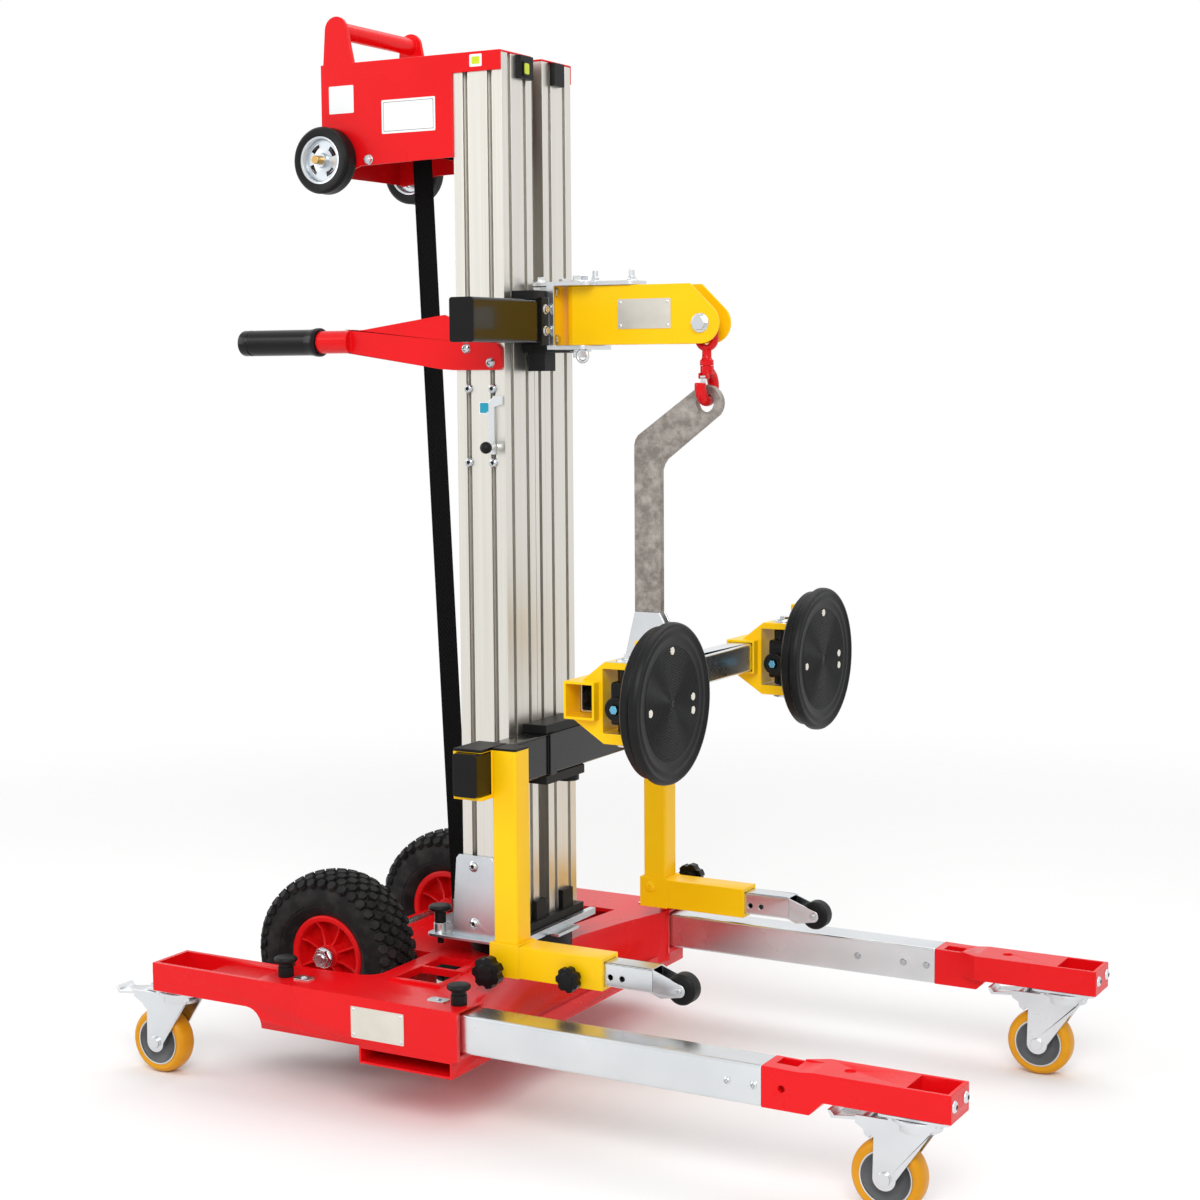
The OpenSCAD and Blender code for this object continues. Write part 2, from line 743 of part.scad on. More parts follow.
// Pneumatic tyre with its spoked rim
module tyre(s) {
    r = tyre_d / 2;
    rim_r = rim_d / 2;
    spokes = 8;
    place() translate([tyre_x, s * tyre_track / 2, tyre_axle_z]) rotate([90, 0, 0]) {
        color(black) rotate_extrude($fn = 72) polygon(concat(
            [[rim_r, -tyre_w / 2 + 12], [rim_r + 5, -tyre_w / 2 + 5]],
            arc_points(r - tyre_w / 2 - 2, -2, tyre_w / 2 - 2, -80, -24, 5),
            [[r, -18], [r, 18]],
            arc_points(r - tyre_w / 2 - 2, 2, tyre_w / 2 - 2, 24, 80, 5),
            [[rim_r + 5, tyre_w / 2 - 5], [rim_r, tyre_w / 2 - 12]]));
        color(red) difference() {
            union() {
                rotate_extrude() polygon([[rim_r - 8, -26], [rim_r, -28], [rim_r, 28], [rim_r - 8, 26]]);
                cylinder(r = 16, h = 52, center = true);
                cylinder(r = rim_r - 6, h = 6, center = true);
                for (i = [0:spokes - 1]) rotate(i * 360 / spokes)
                    translate([12, -2.5, -20]) cube([rim_r - 18, 5, 40]);
            }
            cylinder(d = tyre_axle_d + 2 * pin_gap, h = 60, center = true);
            for (i = [0:spokes - 1]) rotate((i + 0.5) * 360 / spokes)
                translate([rim_r * 0.55, 0, 0]) cylinder(d = 16, h = 10, center = true);
        }
    }
}

// Galvanised foot of the mast
module mast_foot() {
    color(zinc) place() {
        translate([0, 0, foot_z]) linear_extrude(foot_t) difference() {
            union() {
                rounded_rect(-200, -outer_y - 18, -46, outer_y + 18, 12);
                rounded_rect(-232, -46, -190, 46, 12);
            }
            translate([mast_x, 0]) circle(d = spigot_d + 2 * pin_gap);
            translate([index_x, index_y]) circle(d = plunger_hole_d);
        }
        // side brackets bolted to the columns
        for (s = [-1, 1]) side(s) {
            along_y(-outer_y - foot_t, -outer_y) polygon([
                [-162, foot_z + 1], [-153, foot_z + 118], [-148, foot_z + 124], [-94, foot_z + 124],
                [-88, foot_z + 118], [-88, foot_z + 1]]);
            for (z = [foot_z + 24, foot_z + 108])
                translate([-123, -outer_y - foot_t, z]) rotate([90, 0, 0]) button_head(15, 5);
        }
        // front bar and the tongue below it
        box(-50, -outer_y - 16, foot_z + 1, -40, outer_y + 16, foot_z + 11);
        box(-46, -30, foot_z, -22, 30, foot_z + foot_t);
        // anchor of the belt
        difference() {
            box(belt_foot_x + belt_t / 2, -belt_w / 2 - 3, foot_z + 1,
                belt_foot_x + belt_t / 2 + 5, belt_w / 2 + 3, foot_z + 34);
            rod_x(0, foot_z + 22, 8, belt_foot_x - 5, belt_foot_x + 15);
        }
        // guide barrel of the index plunger
        translate([index_x, index_y, foot_z + foot_t - cut]) difference() {
            cylinder(d = 19, h = 14 + cut);
            translate([0, 0, -cut]) cylinder(d = plunger_hole_d, h = 30);
        }
    }
}

module column(s) {
    color(alu) place() translate([mast_x, s * column_y, column_z]) linear_extrude(column_len) column_outline();
}

// Black end blocks, foot guides, groove bolts and the loading wheels' axles
module mast_fittings() {
    color(black) place() {
        box(mast_front, -outer_y, column_z, mast_front + 12, outer_y, column_z + 18);
        for (y = [[-36, -8], [40, 70]]) box(mast_front, y[0], column_z, mast_front + 8, y[1], column_z + 46);
        for (y = [[-56, -22], [36, 64]]) box(mast_front, y[0], column_top - 32, mast_front + 8, y[1], column_top);
    }
    color(zinc) place() {
        for (x = [mast_x - groove_pitch / 2, mast_x + groove_pitch / 2], z = [890, 994])
            translate([x, -outer_y, z]) rotate([90, 0, 0]) button_head(14, 5);
        for (s = [-1, 1]) side(s)
            rod_y(loading_x, loading_z, loading_axle_d, -loading_y - loading_w / 2 - 10, -head_y);
    }
}

// Red sheet housing over the top of the columns, open below and at the front
module head_housing() {
    ear_t = 6;
    bearing_len = 14;
    color(red) place() {
        difference() {
            along_y(-head_y, head_y) polygon([
                [head_back, head_top], [head_back, head_bottom + 62], [head_back - 4, loading_z - 14],
                [head_back + 6, loading_z - 22], [head_back + 40, loading_z - 18], [head_back + 68, head_bottom],
                [mast_back, head_bottom + 4], [mast_back, column_top - head_overlap],
                [mast_front, column_top - head_overlap], [mast_front, head_top]]);
            // room for the drum behind the columns
            box(head_back + head_t, -outer_y, head_bottom - 40, mast_back - head_t, outer_y, column_top);
            // room for the columns
            box(mast_back, -outer_y, column_top - head_overlap - cut, mast_front + cut, outer_y, column_top);
            // notch of the top sheet between the columns
            box(mast_x, -column_gap / 2, column_top - cut, mast_front + cut, column_gap / 2, head_top + cut);
        }
        // bearings of the drum's axle
        for (s = [-1, 1]) side(s) difference() {
            rod_y(drum_x, drum_z, drum_axle_d + 18, -head_y + cut, -outer_y + bearing_len);
            rod_y(drum_x, drum_z, drum_axle_d, -outer_y + cut, -outer_y + bearing_len + cut);
        }
        // carry handle between two rounded ears
        for (s = [-1, 1]) side(s) along_y(-head_y, -head_y + ear_t) polygon(concat(
            [[carry_x + 30, head_top - 1]], arc_points(carry_x, carry_z, carry_ear_r, 12, 175, 14),
            [[carry_x - 23, head_top - 1]]));
        rod_y(carry_x, carry_z, carry_d, -head_y + cut, head_y - cut);
    }
}

// Drum that the belt winds on inside the housing
module belt_drum() {
    color(dark) place() {
        rod_y(drum_x, drum_z, drum_d - belt_t - 2 * face_gap, -belt_w / 2 - 6, belt_w / 2 + 6);
        for (y = [-belt_w / 2 - 6, belt_w / 2 + 3]) rod_y(drum_x, drum_z, drum_d + 16, y, y + 3);
        rod_y(drum_x, drum_z, drum_axle_d - 2 * pin_gap, -outer_y + 1.5, outer_y - 1.5);
    }
}

// Belt from the drum down to the foot plate
module lifting_belt() {
    r = drum_d / 2;
    top = [drum_x - r * cos(belt_tilt), drum_z - r * sin(belt_tilt)];
    bottom = [belt_foot_x, foot_z + foot_t + 6];
    color(black) place() along_y(-belt_w / 2, belt_w / 2) {
        polygon([[top[0] - belt_t / 2, top[1]], [top[0] + belt_t / 2, top[1]],
                 [bottom[0] + belt_t - 1.5, bottom[1]], [bottom[0] - 1.5, bottom[1]]]);
    }
}

// Push handle on the near column: a shaped plate with a tube
module side_handle() {
    z = handle_z;
    color(red) place() {
        along_y(handle_y - handle_t / 2, handle_y + handle_t / 2) polygon([
            [-330, z - 16], [-330, z + 16], [-300, z + 17], [-160, z + 36], [-150, z + 32], [-138, z + 6],
            [-72, z - 5], [-66, z - 12], [-66, z - 38], [-70, z - 42], [-146, z - 42], [-170, z - 40]]);
        rod_x(handle_y, z, handle_tube_d, grip_end_x - grip_len + grip_wall, -322);
    }
    color(zinc) place() for (k = [[0.5, -32], [-0.5, -12]])
        translate([mast_x + k[0] * groove_pitch, handle_y - handle_t / 2, z + k[1]]) rotate([90, 0, 0])
            button_head(14, 5);
}

module handle_grip() {
    r = grip_d / 2;
    bore = handle_tube_d / 2 + pin_gap;
    color(black) place() translate([grip_end_x - grip_len, handle_y, handle_z]) rotate([0, 90, 0])
        rotate_extrude() polygon(concat(
            [[8, grip_wall], [8, 0]], arc_points(r - 4, 4, 4, -90, 0, 4),
            [[r, grip_len - 12], [r + 2, grip_len - 10], [r + 2, grip_len - 2], [r, grip_len], [bore, grip_len],
             [bore, grip_wall]]));
}

// Latch that holds the carriage at rest, with a ball knob
module carriage_latch() {
    y = -outer_y - face_gap;
    color(zinc) place() {
        along_y(y - 5, y) polygon([
            [-88, 902], [-79, 902], [-79, 968], [-66, 972], [-66, 984], [-79, 984], [-88, 975], [-88, 962],
            [-91, 962], [-91, 950], [-88, 950], [-88, 920], [-91, 920], [-91, 906], [-88, 906]]);
        rod_y(-82, 912, 9, y - 18, y - cut);
    }
    color(black) place() translate([-82, y - 22, 912]) sphere(d = 17);
}

module loading_wheel(s) {
    r = loading_d / 2;
    w = loading_w / 2;
    place() translate([loading_x, s * loading_y, loading_z]) rotate([90, 0, 0]) {
        color(black) rotate_extrude($fn = 64) polygon([
            [loading_axle_d / 2 + pin_gap, -w], [14, -w], [16, -w + 5], [r - 14, -w + 7], [r - 10, -w],
            [r - 3, -w], [r, -w + 4], [r, w - 4], [r - 3, w], [r - 10, w], [r - 14, w - 7], [16, w - 5],
            [14, w], [loading_axle_d / 2 + pin_gap, w]]);
    }
}

// Inner profile that runs between the two columns
module carriage_profile() {
    half = column_gap / 2 - carriage_gap;
    color(alu) place() translate([0, 0, carriage_z]) linear_extrude(carriage_len) difference() {
        translate([mast_back + 6, -half]) square([bar_back - mast_back - 6, 2 * half]);
        translate([bar_back, 0]) rotate(-90) groove_outline(groove_depth - 3);
        translate([mast_back + 14, -half + 4]) square([20, 2 * half - 8]);
        translate([mast_back + 38, -half + 4]) square([20, 2 * half - 8]);
    }
}

// Black saddles above and below each crossbar, with tongues in the grooves
module guide_saddle(z0, width) {
    guide_y = [-column_gap / 2 - column_w / 4, column_gap / 2 + column_w / 4];
    tongue = groove_mouth - 2 * face_gap;
    box(bar_back, -width / 2, z0, bar_back + bar_x - face_gap, width / 2, z0 + saddle_t);
    for (y = guide_y) {
        box(mast_front - groove_lip - 2, y - tongue / 2, z0, bar_back + cut, y + tongue / 2, z0 + saddle_t);
        box(mast_front - groove_lip - 5, y - groove_in / 2 + 2, z0,
            mast_front - groove_lip - 1, y + groove_in / 2 - 2, z0 + saddle_t);
    }
}

module guide_saddles() {
    color(black) place() {
        guide_saddle(upper_bar_z + bar_z / 2, 150);
        guide_saddle(upper_bar_z - bar_z / 2 - saddle_t, 92);
        guide_saddle(lower_bar_z + bar_z / 2, 110);
        guide_saddle(lower_bar_z - bar_z / 2 - saddle_t, 110);
        // hanging block below the upper crossbar
        box(bar_back + 5, -41, upper_bar_z - bar_z / 2 - saddle_t - 26, bar_back + bar_x - 5, -11,
            upper_bar_z - bar_z / 2 - saddle_t + cut);
        // rubber stops below the lower saddle
        rod_z(bar_mid_x, 37, 34, lower_bar_z - bar_z / 2 - saddle_t - 9, lower_bar_z - bar_z / 2 - saddle_t + cut);
    }
}

// Square tube across the mast, closed by caps at both ends
module crossbar(z, len) {
    cap_t = 4;
    difference() {
        translate([bar_mid_x, 0, z]) along_y(-len / 2, len / 2)
            rounded_rect(-bar_x / 2, -bar_z / 2, bar_x / 2, bar_z / 2, tube_r);
        box(bar_back + bar_t, -len / 2 + cap_t, z - bar_z / 2 + bar_t,
            bar_back + bar_x - bar_t, len / 2 - cap_t, z + bar_z / 2 - bar_t);
    }
}

module upper_crossbar() {
    color(black) place() crossbar(upper_bar_z, upper_bar_len);
}

module lower_crossbar() {
    color(dark) place() {
        crossbar(lower_bar_z, lower_bar_len);
        // bolted front plate
        box(bar_back + bar_x, -50, lower_bar_z - bar_z / 2, bar_back + bar_x + 4, -32, lower_bar_z + bar_z / 2);
    }
}

// Bracket on the upper crossbar that holds the arm's pivot pin
module arm_bracket() {
    front = bar_back + bar_x;
    flange_t = 6;
    plate_back = mast_front + 9.5;
    top_z = arm_top + face_gap;
    low_z = arm_z - flange_t - face_gap;
    w = 41;
    color(yellow) place() {
        box(front, -w, low_z + cut, front + 7, w, top_z + cut);
    }
    // clamp strips bolted to the crossbar beside the yellow plate
    color(black) place() {
        for (s = [-1, 1]) side(s) box(front, -w - 22, low_z + flange_t, front + 4, -w - 2, top_z - 16);
    }
    color(zinc) place() {
        // upper plate over the crossbar, with a tongue that reaches along the arm
        translate([0, 0, top_z]) linear_extrude(flange_t) union() {
            rounded_rect(plate_back, -w, arm_pivot_x + 36, w, 8);
            rounded_rect(arm_pivot_x, -24, arm_pivot_x + 98, 24, 12);
        }
        translate([0, 0, low_z]) linear_extrude(flange_t) rounded_rect(front, -w, arm_pivot_x + 30, w, 8);
        // side ribs and the distance block on the saddle
        for (s = [-1, 1]) side(s) box(front, -w - 3, low_z, front + 12, -w + 1, top_z + flange_t);
        box(plate_back + 1, -w + 8, upper_bar_z + bar_z / 2 + saddle_t, front - 4, w - 8, top_z + cut);
        rod_z(arm_pivot_x, 0, arm_pin_d, low_z - 4, top_z + flange_t + 2);
        translate([arm_pivot_x, 0, top_z + flange_t]) bolt_head(arm_pin_d, 9);
        translate([arm_pivot_x, 0, low_z]) mirror([0, 0, 1]) bolt_head(arm_pin_d, 11);
        // studs with nuts on the upper plate
        for (x = [arm_pivot_x + 29, arm_pivot_x + 87]) {
            translate([x, -8, top_z + flange_t]) bolt_head(8, 6);
            rod_z(x, -8, 8, top_z + flange_t - cut, top_z + flange_t + 15);
        }
        for (y = [-30, 30]) {
            translate([front - 16, y, top_z + flange_t]) bolt_head(8, 7);
            for (z = [arm_z + 8, arm_top - 8]) translate([front + 7, y, z]) rotate([0, 90, 0]) bolt_head(8, 5);
        }
        for (z = [arm_z + 20, arm_z + 50]) translate([front + 4, -w - 12, z]) rotate([0, 90, 0]) bolt_head(7, 4);
        // ring below the lower plate
        translate([arm_pivot_x + 20, -30, low_z - 9]) rotate([90, 0, 0])
            rotate_extrude($fn = 32) translate([8, 0]) circle(d = 5, $fn = 16);
    }
}

// Folded yellow arm, open at the tip for the swivel
module load_arm() {
    tip_r = 28;
    tip_x = load_x;
    tip_z = load_pin_z;
    h = arm_side_w / 2;
    color(yellow) place() difference() {
        union() {
            for (s = [-1, 1]) side(s) along_y(-h, -h + arm_t) polygon(concat(
                [[arm_pivot_x - 3, arm_z], [arm_pivot_x - 3, arm_top], [tip_x - 16, arm_top]],
                arc_points(tip_x, tip_z, tip_r, 40, -90, 10)));
            box(arm_pivot_x - 3, -h, arm_top - arm_t, tip_x - 50, h, arm_top);
            box(arm_pivot_x - 3, -h, arm_z, tip_x - 60, h, arm_z + arm_t);
            box(arm_pivot_x + 14, -h, arm_z, arm_pivot_x + 18, h, arm_top);
            rod_z(arm_pivot_x, 0, arm_side_w - arm_t, arm_z, arm_top);
        }
        rod_z(arm_pivot_x, 0, arm_pin_d + 2 * pin_gap, arm_z - cut, arm_top + cut);
    }
    color(zinc) place() {
        rod_y(load_x, load_pin_z, swivel_pin_d, -h - 4, h + 4);
        for (s = [-1, 1]) side(s) translate([load_x, -h, load_pin_z]) rotate([90, 0, 0]) bolt_head(swivel_pin_d, 9);
    }
}

// Red eye that hangs on the arm's pin and holds the hook's shank
module swivel_eye() {
    w = 7;
    color(red) place() difference() {
        union() {
            rod_y(load_x, load_pin_z, swivel_pin_d + 20, -w, w);
            rod_z(load_x, 0, 16, hook_neck_z + 12, load_pin_z - swivel_pin_d / 2 - 3);
            rod_z(load_x, 0, 28, hook_neck_z + 6, hook_neck_z + 18);
        }
        rod_y(load_x, load_pin_z, swivel_pin_d + 2 * pin_gap, -w - cut, w + cut);
        rod_z(load_x, 0, 10 + 2 * pin_gap, hook_neck_z - cut, hook_neck_z + 13);
    }
}

// Lifting hook with its shank
module lift_hook() {
    bowl_z = hook_z + hook_r;
    color(red) place() translate([load_x, 0, 0]) {
        translate([0, 0, bowl_z]) rotate([0, 90, 0]) rotate([0, 0, -hook_tip_angle])
            rotate_extrude(angle = hook_tip_angle + 168) translate([hook_r, 0]) circle(d = hook_d, $fn = 24);
        rod_z(0, 0, hook_d + 2, bowl_z + hook_r - 5, hook_neck_z + 6 - face_gap);
        rod_z(0, 0, 10, hook_neck_z, hook_neck_z + 12.5);
        // two ears under the shank with the latch's pin
        for (x = [-latch_half - face_gap - 2.5, latch_half + face_gap])
            box(x, latch_y - 2.2, latch_z - 2.5, x + 2.5, -4, bowl_z + hook_r - 2);
        rod_x(latch_y, latch_z, latch_pin_d, -latch_half - 3.3, latch_half + 3.3);
    }
}

// Sprung latch across the hook's mouth
module hook_latch() {
    tip_z = hook_z + hook_r - hook_r * cos(hook_tip_angle);
    color(zinc) place() translate([load_x, 0, 0]) along_x(-latch_half, latch_half) difference() {
        union() {
            translate([latch_y - latch_t / 2, tip_z]) square([latch_t, latch_z - tip_z]);
            translate([latch_y, latch_z]) circle(d = latch_pin_d + 2.2);
        }
        translate([latch_y, latch_z]) circle(d = latch_pin_d + 2 * pin_gap);
    }
}

// Flat hanger bar with its eye, bend and gusset
module hanger_bar() {
    eye_r = 25;
    bend_z = eye_z - 59;
    foot = pad_beam_mid_z + pad_beam_z / 2 + 0.5;
    color(steel_grey) place() along_y(-hanger_t / 2, hanger_t / 2) difference() {
        polygon(concat(
            arc_points(load_x, eye_z, eye_r, -40, 140, 14),
            [[99, bend_z + 14], [95, bend_z + 8], [hanger_front_x - hanger_w, bend_z],
             [hanger_front_x - hanger_w, foot], [hanger_front_x, foot], [hanger_front_x, bend_z - 34],
             [hanger_front_x + 3, bend_z - 26], [hanger_front_x + 8, bend_z - 19]]));
        translate([load_x, eye_z]) circle(eye_bore_r);
    }
}

module pad_beam() {
    x0 = pad_beam_mid_x - pad_beam_x / 2;
    x1 = pad_beam_mid_x + pad_beam_x / 2;
    z0 = pad_beam_mid_z - pad_beam_z / 2;
    z1 = pad_beam_mid_z + pad_beam_z / 2;
    color(zinc) place() {
        translate([pad_beam_mid_x, 0, pad_beam_mid_z]) along_y(-pad_beam_len / 2, pad_beam_len / 2)
            tube_section(pad_beam_x, pad_beam_z, pad_beam_t);
        // gusset plates on both sides of the hanger bar
        for (s = [-1, 1]) side(s) along_y(-hanger_t / 2 - 4, -hanger_t / 2) polygon([
            [x1 - 4, z1 - 1], [hanger_front_x, z1 + 66], [hanger_front_x - 39, z1 + 66], [hanger_front_x - 56, z1 - 4],
            [x0 + 1, z1 - 4], [x0 + 1, z1 - 1]]);
    }
}

// Yellow head that slides on the beam, with a pocket for the pad's block
module pad_head(s) {
    x0 = pad_beam_mid_x - pad_beam_x / 2 - slide_gap;
    x1 = pad_beam_mid_x + pad_beam_x / 2 + slide_gap;
    z0 = pad_beam_mid_z - pad_beam_z / 2 - slide_gap;
    z1 = pad_beam_mid_z + pad_beam_z / 2 + slide_gap;
    y0 = s * pad_y - head_w / 2;
    y1 = s * pad_y + head_w / 2;
    t = pad_sleeve_t;
    place() {
        color(yellow) difference() {
            union() {
                box(x0 - t, y0, z0 - t, x1 + t, y1, z1 + t);
                along_y(y0 + 14, y1) polygon([
                    [x1 + t - 1, z0 - t], [x1 + t - 1, z1 + t], [x0 + 16, z1 + t], [x0 + 50, z1 + 30], [nose_x, z1 + 30],
                    [nose_x, z0 - 35], [x0 + 48, z0 - 35], [x0, z0 - t]]);
            }
            box(x0, y0 - cut, z0, x1, y1 + cut, z1);
            box(pad_pivot_x - 29, y0 - cut, pad_beam_mid_z - 42, nose_x + cut, y1 + cut, pad_beam_mid_z + 42);
        }
        color(zinc) {
            rod_z(pad_pivot_x, s * pad_y, 12, z0 - 40, z1 + 34);
            for (z = [z0 - 38, z1 + 30]) rod_z(pad_pivot_x, s * pad_y, 34, z, z + 3);
            translate([pad_pivot_x, s * pad_y, z1 + 33]) bolt_head(10, 6);
        }
    }
}

// Suction pad with its tilting block; both pads are alike
module suction_pad(s) {
    r = pad_d / 2;
    x = pad_pivot_x;
    back = pad_face_x - 38;
    face = pad_face_x;
    barrel_h = 82;
    place() translate([0, s * pad_y, pad_beam_mid_z]) {
        color(black) difference() {
            union() {
                translate([0, 0, -barrel_h / 2]) rod_z(x, 0, 30, 0, barrel_h);
                box(x - 14, -24, -30, x + 20, 24, 26);
                box(x + 12, -20, -33, back + 1, 20, 33);
                rod_y(x - 4, -8, 32, -32, -23);
                // disc with a stepped rim and fine rings on its face
                rotate([0, 90, 0]) rotate_extrude($fn = 80) polygon(concat(
                    [[0, back], [r * 0.62, back], [r * 0.8, back + 7], [r * 0.91, back + 9], [r * 0.94, back + 12],
                     [r * 0.94, face - 18], [r * 0.92, face - 15], [r * 0.97, face - 13], [r, face - 10],
                     [r, face - 6], [r * 0.975, face - 0.6], [r * 0.95, face], [r * 0.925, face - 1.5]],
                    [for (i = [0:5]) for (p = [[0.9, 3], [0.81, 3], [0.8, 2.2], [0.78, 2.2]])
                        [r * (p[0] - i * 0.13), face - p[1]]],
                    [[r * 0.12, face - 3], [0, face - 3]]));
            }
            rod_z(x, 0, 12 + 2 * pin_gap, -60, 60);
        }
        // yellow backing plate whose ends show above and below the block
        color(yellow) for (z = [-82, 57]) box(back - 5, -28, z, back + 3, 28, z + 25);
        color(zinc) rod_y(x - 4, -8, 13, -37, -31);
    }
}

// Square post with the clamp that grips the crossbar
module post(y) {
    w = post_w / 2;
    clamp_t = 5;
    clamp_z0 = lower_bar_z - bar_z / 2 - slide_gap;
    clamp_z1 = lower_bar_z + bar_z / 2 + slide_gap;
    place() translate([0, y, 0]) {
        color(yellow) {
            difference() {
                translate([0, 0, post_bottom]) linear_extrude(post_top - 4 - post_bottom)
                    rounded_rect(post_x - w, -w, post_x + w, w, tube_r);
                box(post_x - w + post_t, -w + post_t, post_bottom - cut, post_x + w - post_t, w - post_t, post_top - 8);
            }
            difference() {
                box(bar_back - clamp_t - slide_gap, -w - 28, clamp_z0 - clamp_t, post_x - w + cut, w, clamp_z1 + clamp_t);
                box(bar_back - slide_gap, -w - 28 - cut, clamp_z0, bar_back + bar_x + slide_gap, w + cut, clamp_z1);
                // open towards the front beside the post
                box(bar_back, -w - 28 - cut, clamp_z0, post_x - w + 2 * cut, -w - 1, clamp_z1);
            }
        }
        color(black) translate([0, 0, post_top - 4]) linear_extrude(4) rounded_rect(post_x - w, -w, post_x + w, w, tube_r);
    }
}

// Sleeve round the post with the fork tube and its two star knobs
module fork(s, y) {
    g = slide_gap;
    w = post_w / 2 + g;
    ow = w + sleeve_t;
    e = extension_w / 2 + g;
    ex0 = post_x + ow;
    knob = s < 0 ? knob_near : knob_far;
    place() translate([0, y, 0]) side(s) {
        color(yellow) difference() {
            union() {
                box(post_x - ow, -ow, post_bottom, post_x + ow, ow, post_bottom + sleeve_h);
                box(ex0 - cut, -fork_h / 2, fork_z - fork_h / 2, ex0 + fork_len, fork_h / 2, fork_z + fork_h / 2);
            }
            box(post_x - w, -w, post_bottom - cut, post_x + w, w, post_bottom + sleeve_h + cut);
            box(ex0 + 4, -e, fork_z - e, ex0 + fork_len + cut, e, fork_z + e);
        }
        color(black) {
            translate([knob[0], -fork_h / 2 + cut, knob[1]]) rotate([90, 0, 0]) {
                cylinder(d = 16, h = knob_stem + 2 * cut);
                translate([0, 0, knob_stem]) star_knob(knob_d, 24);
            }
            translate([103, -fork_h / 2, fork_z - 9]) rotate([90, 0, 0]) star_knob(knob_d * 0.8, 18);
        }
    }
}

// Extension tube with adjusting holes and the roller's bracket
module extension(s, y) {
    w = extension_w / 2;
    t = 3;
    x1 = post_x + post_w / 2 + slide_gap + sleeve_t + fork_len;
    tip = x1 + extension_out;
    ear_y = roller_w / 2 + 1;
    color(zinc) place() translate([0, y, 0]) {
        difference() {
            along_x(x1 - extension_in, tip) translate([0, fork_z])
                rounded_rect(-w, -w, w, w, tube_r - 1);
            box(x1 - extension_in - cut, -w + t, fork_z - w + t, tip - 4, w - t, fork_z + w - t);
            for (x = [x1 + 9, x1 + 27]) rod_y(x, fork_z - 3, 8, -w - cut, w + cut);
        }
        for (k = [-1, 1]) {
            y0 = k > 0 ? ear_y : -ear_y - 3;
            along_y(y0, y0 + 3) {
                polygon([[tip - 3, fork_z + 16], [tip - 3, fork_z - 16], [tip + 12, roller_z - 14],
                         [roller_x, roller_z - 9], [roller_x, roller_z + 9]]);
                translate([roller_x, roller_z]) circle(9);
            }
        }
        rod_y(roller_x, roller_z, 8, -ear_y - 5, ear_y + 5);
    }
}

module roller(y) {
    color(black) place() translate([roller_x, y, roller_z]) rotate([90, 0, 0]) rotate_extrude() polygon([
        [4 + pin_gap, -roller_w / 2], [roller_d / 2 - 3, -roller_w / 2], [roller_d / 2, -roller_w / 2 + 3],
        [roller_d / 2, roller_w / 2 - 3], [roller_d / 2 - 3, roller_w / 2], [4 + pin_gap, roller_w / 2]]);
}

chassis_frame();
chassis_fittings();
color(black) plunger(plunger_front_x, -plunger_y, leg_pin_len);  // plunger_front_near
color(black) plunger(plunger_front_x, plunger_y, leg_pin_len);  // plunger_front_far
color(black) plunger(plunger_rear_x, -plunger_y, leg_pin_len);  // plunger_rear_near
color(black) plunger(plunger_rear_x, plunger_y, leg_pin_len);  // plunger_rear_far
index_plunger();
leg_tube(-1);  // leg_tube_near
leg_tube(1);  // leg_tube_far
leg_end(-1);  // leg_end_near
leg_end(1);  // leg_end_far
color(zinc) caster_fork(swivel_rear_x, -caster_y_rear);  // caster_fork_rear_near
color(zinc) caster_fork(swivel_rear_x, caster_y_rear);  // caster_fork_rear_far
color(zinc) caster_fork(swivel_front_x, -caster_y_front);  // caster_fork_front_near
color(zinc) caster_fork(swivel_front_x, caster_y_front);  // caster_fork_front_far
caster_wheel(swivel_rear_x, -caster_y_rear);  // caster_wheel_rear_near
caster_wheel(swivel_rear_x, caster_y_rear);  // caster_wheel_rear_far
caster_wheel(swivel_front_x, -caster_y_front);  // caster_wheel_front_near
caster_wheel(swivel_front_x, caster_y_front);  // caster_wheel_front_far
color(zinc) brake_pedal(swivel_rear_x, -caster_y_rear);  // brake_pedal_rear_near
color(zinc) brake_pedal(swivel_rear_x, caster_y_rear);  // brake_pedal_rear_far
color(zinc) brake_pedal(swivel_front_x, -caster_y_front);  // brake_pedal_front_near
color(zinc) brake_pedal(swivel_front_x, caster_y_front);  // brake_pedal_front_far
tyre(-1);  // tyre_near
tyre(1);  // tyre_far
mast_foot();
column(-1);  // column_near
column(1);  // column_far
mast_fittings();
head_housing();
belt_drum();
lifting_belt();
side_handle();
handle_grip();
carriage_latch();
loading_wheel(-1);  // loading_wheel_near
loading_wheel(1);  // loading_wheel_far
carriage_profile();
guide_saddles();
upper_crossbar();
lower_crossbar();
arm_bracket();
load_arm();
swivel_eye();
lift_hook();
hook_latch();
hanger_bar();
pad_beam();
pad_head(-1);  // pad_head_near
pad_head(1);  // pad_head_far
suction_pad(-1);  // suction_pad_near
suction_pad(1);  // suction_pad_far
post(post_near_y);  // post_near
post(post_far_y);  // post_far
fork(-1, post_near_y);  // fork_near
fork(1, post_far_y);  // fork_far
extension(-1, post_near_y);  // extension_near
extension(1, post_far_y);  // extension_far
roller(post_near_y);  // roller_near
roller(post_far_y);  // roller_far
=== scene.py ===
import json
import math

import bmesh
import bpy
from mathutils import Matrix, Vector

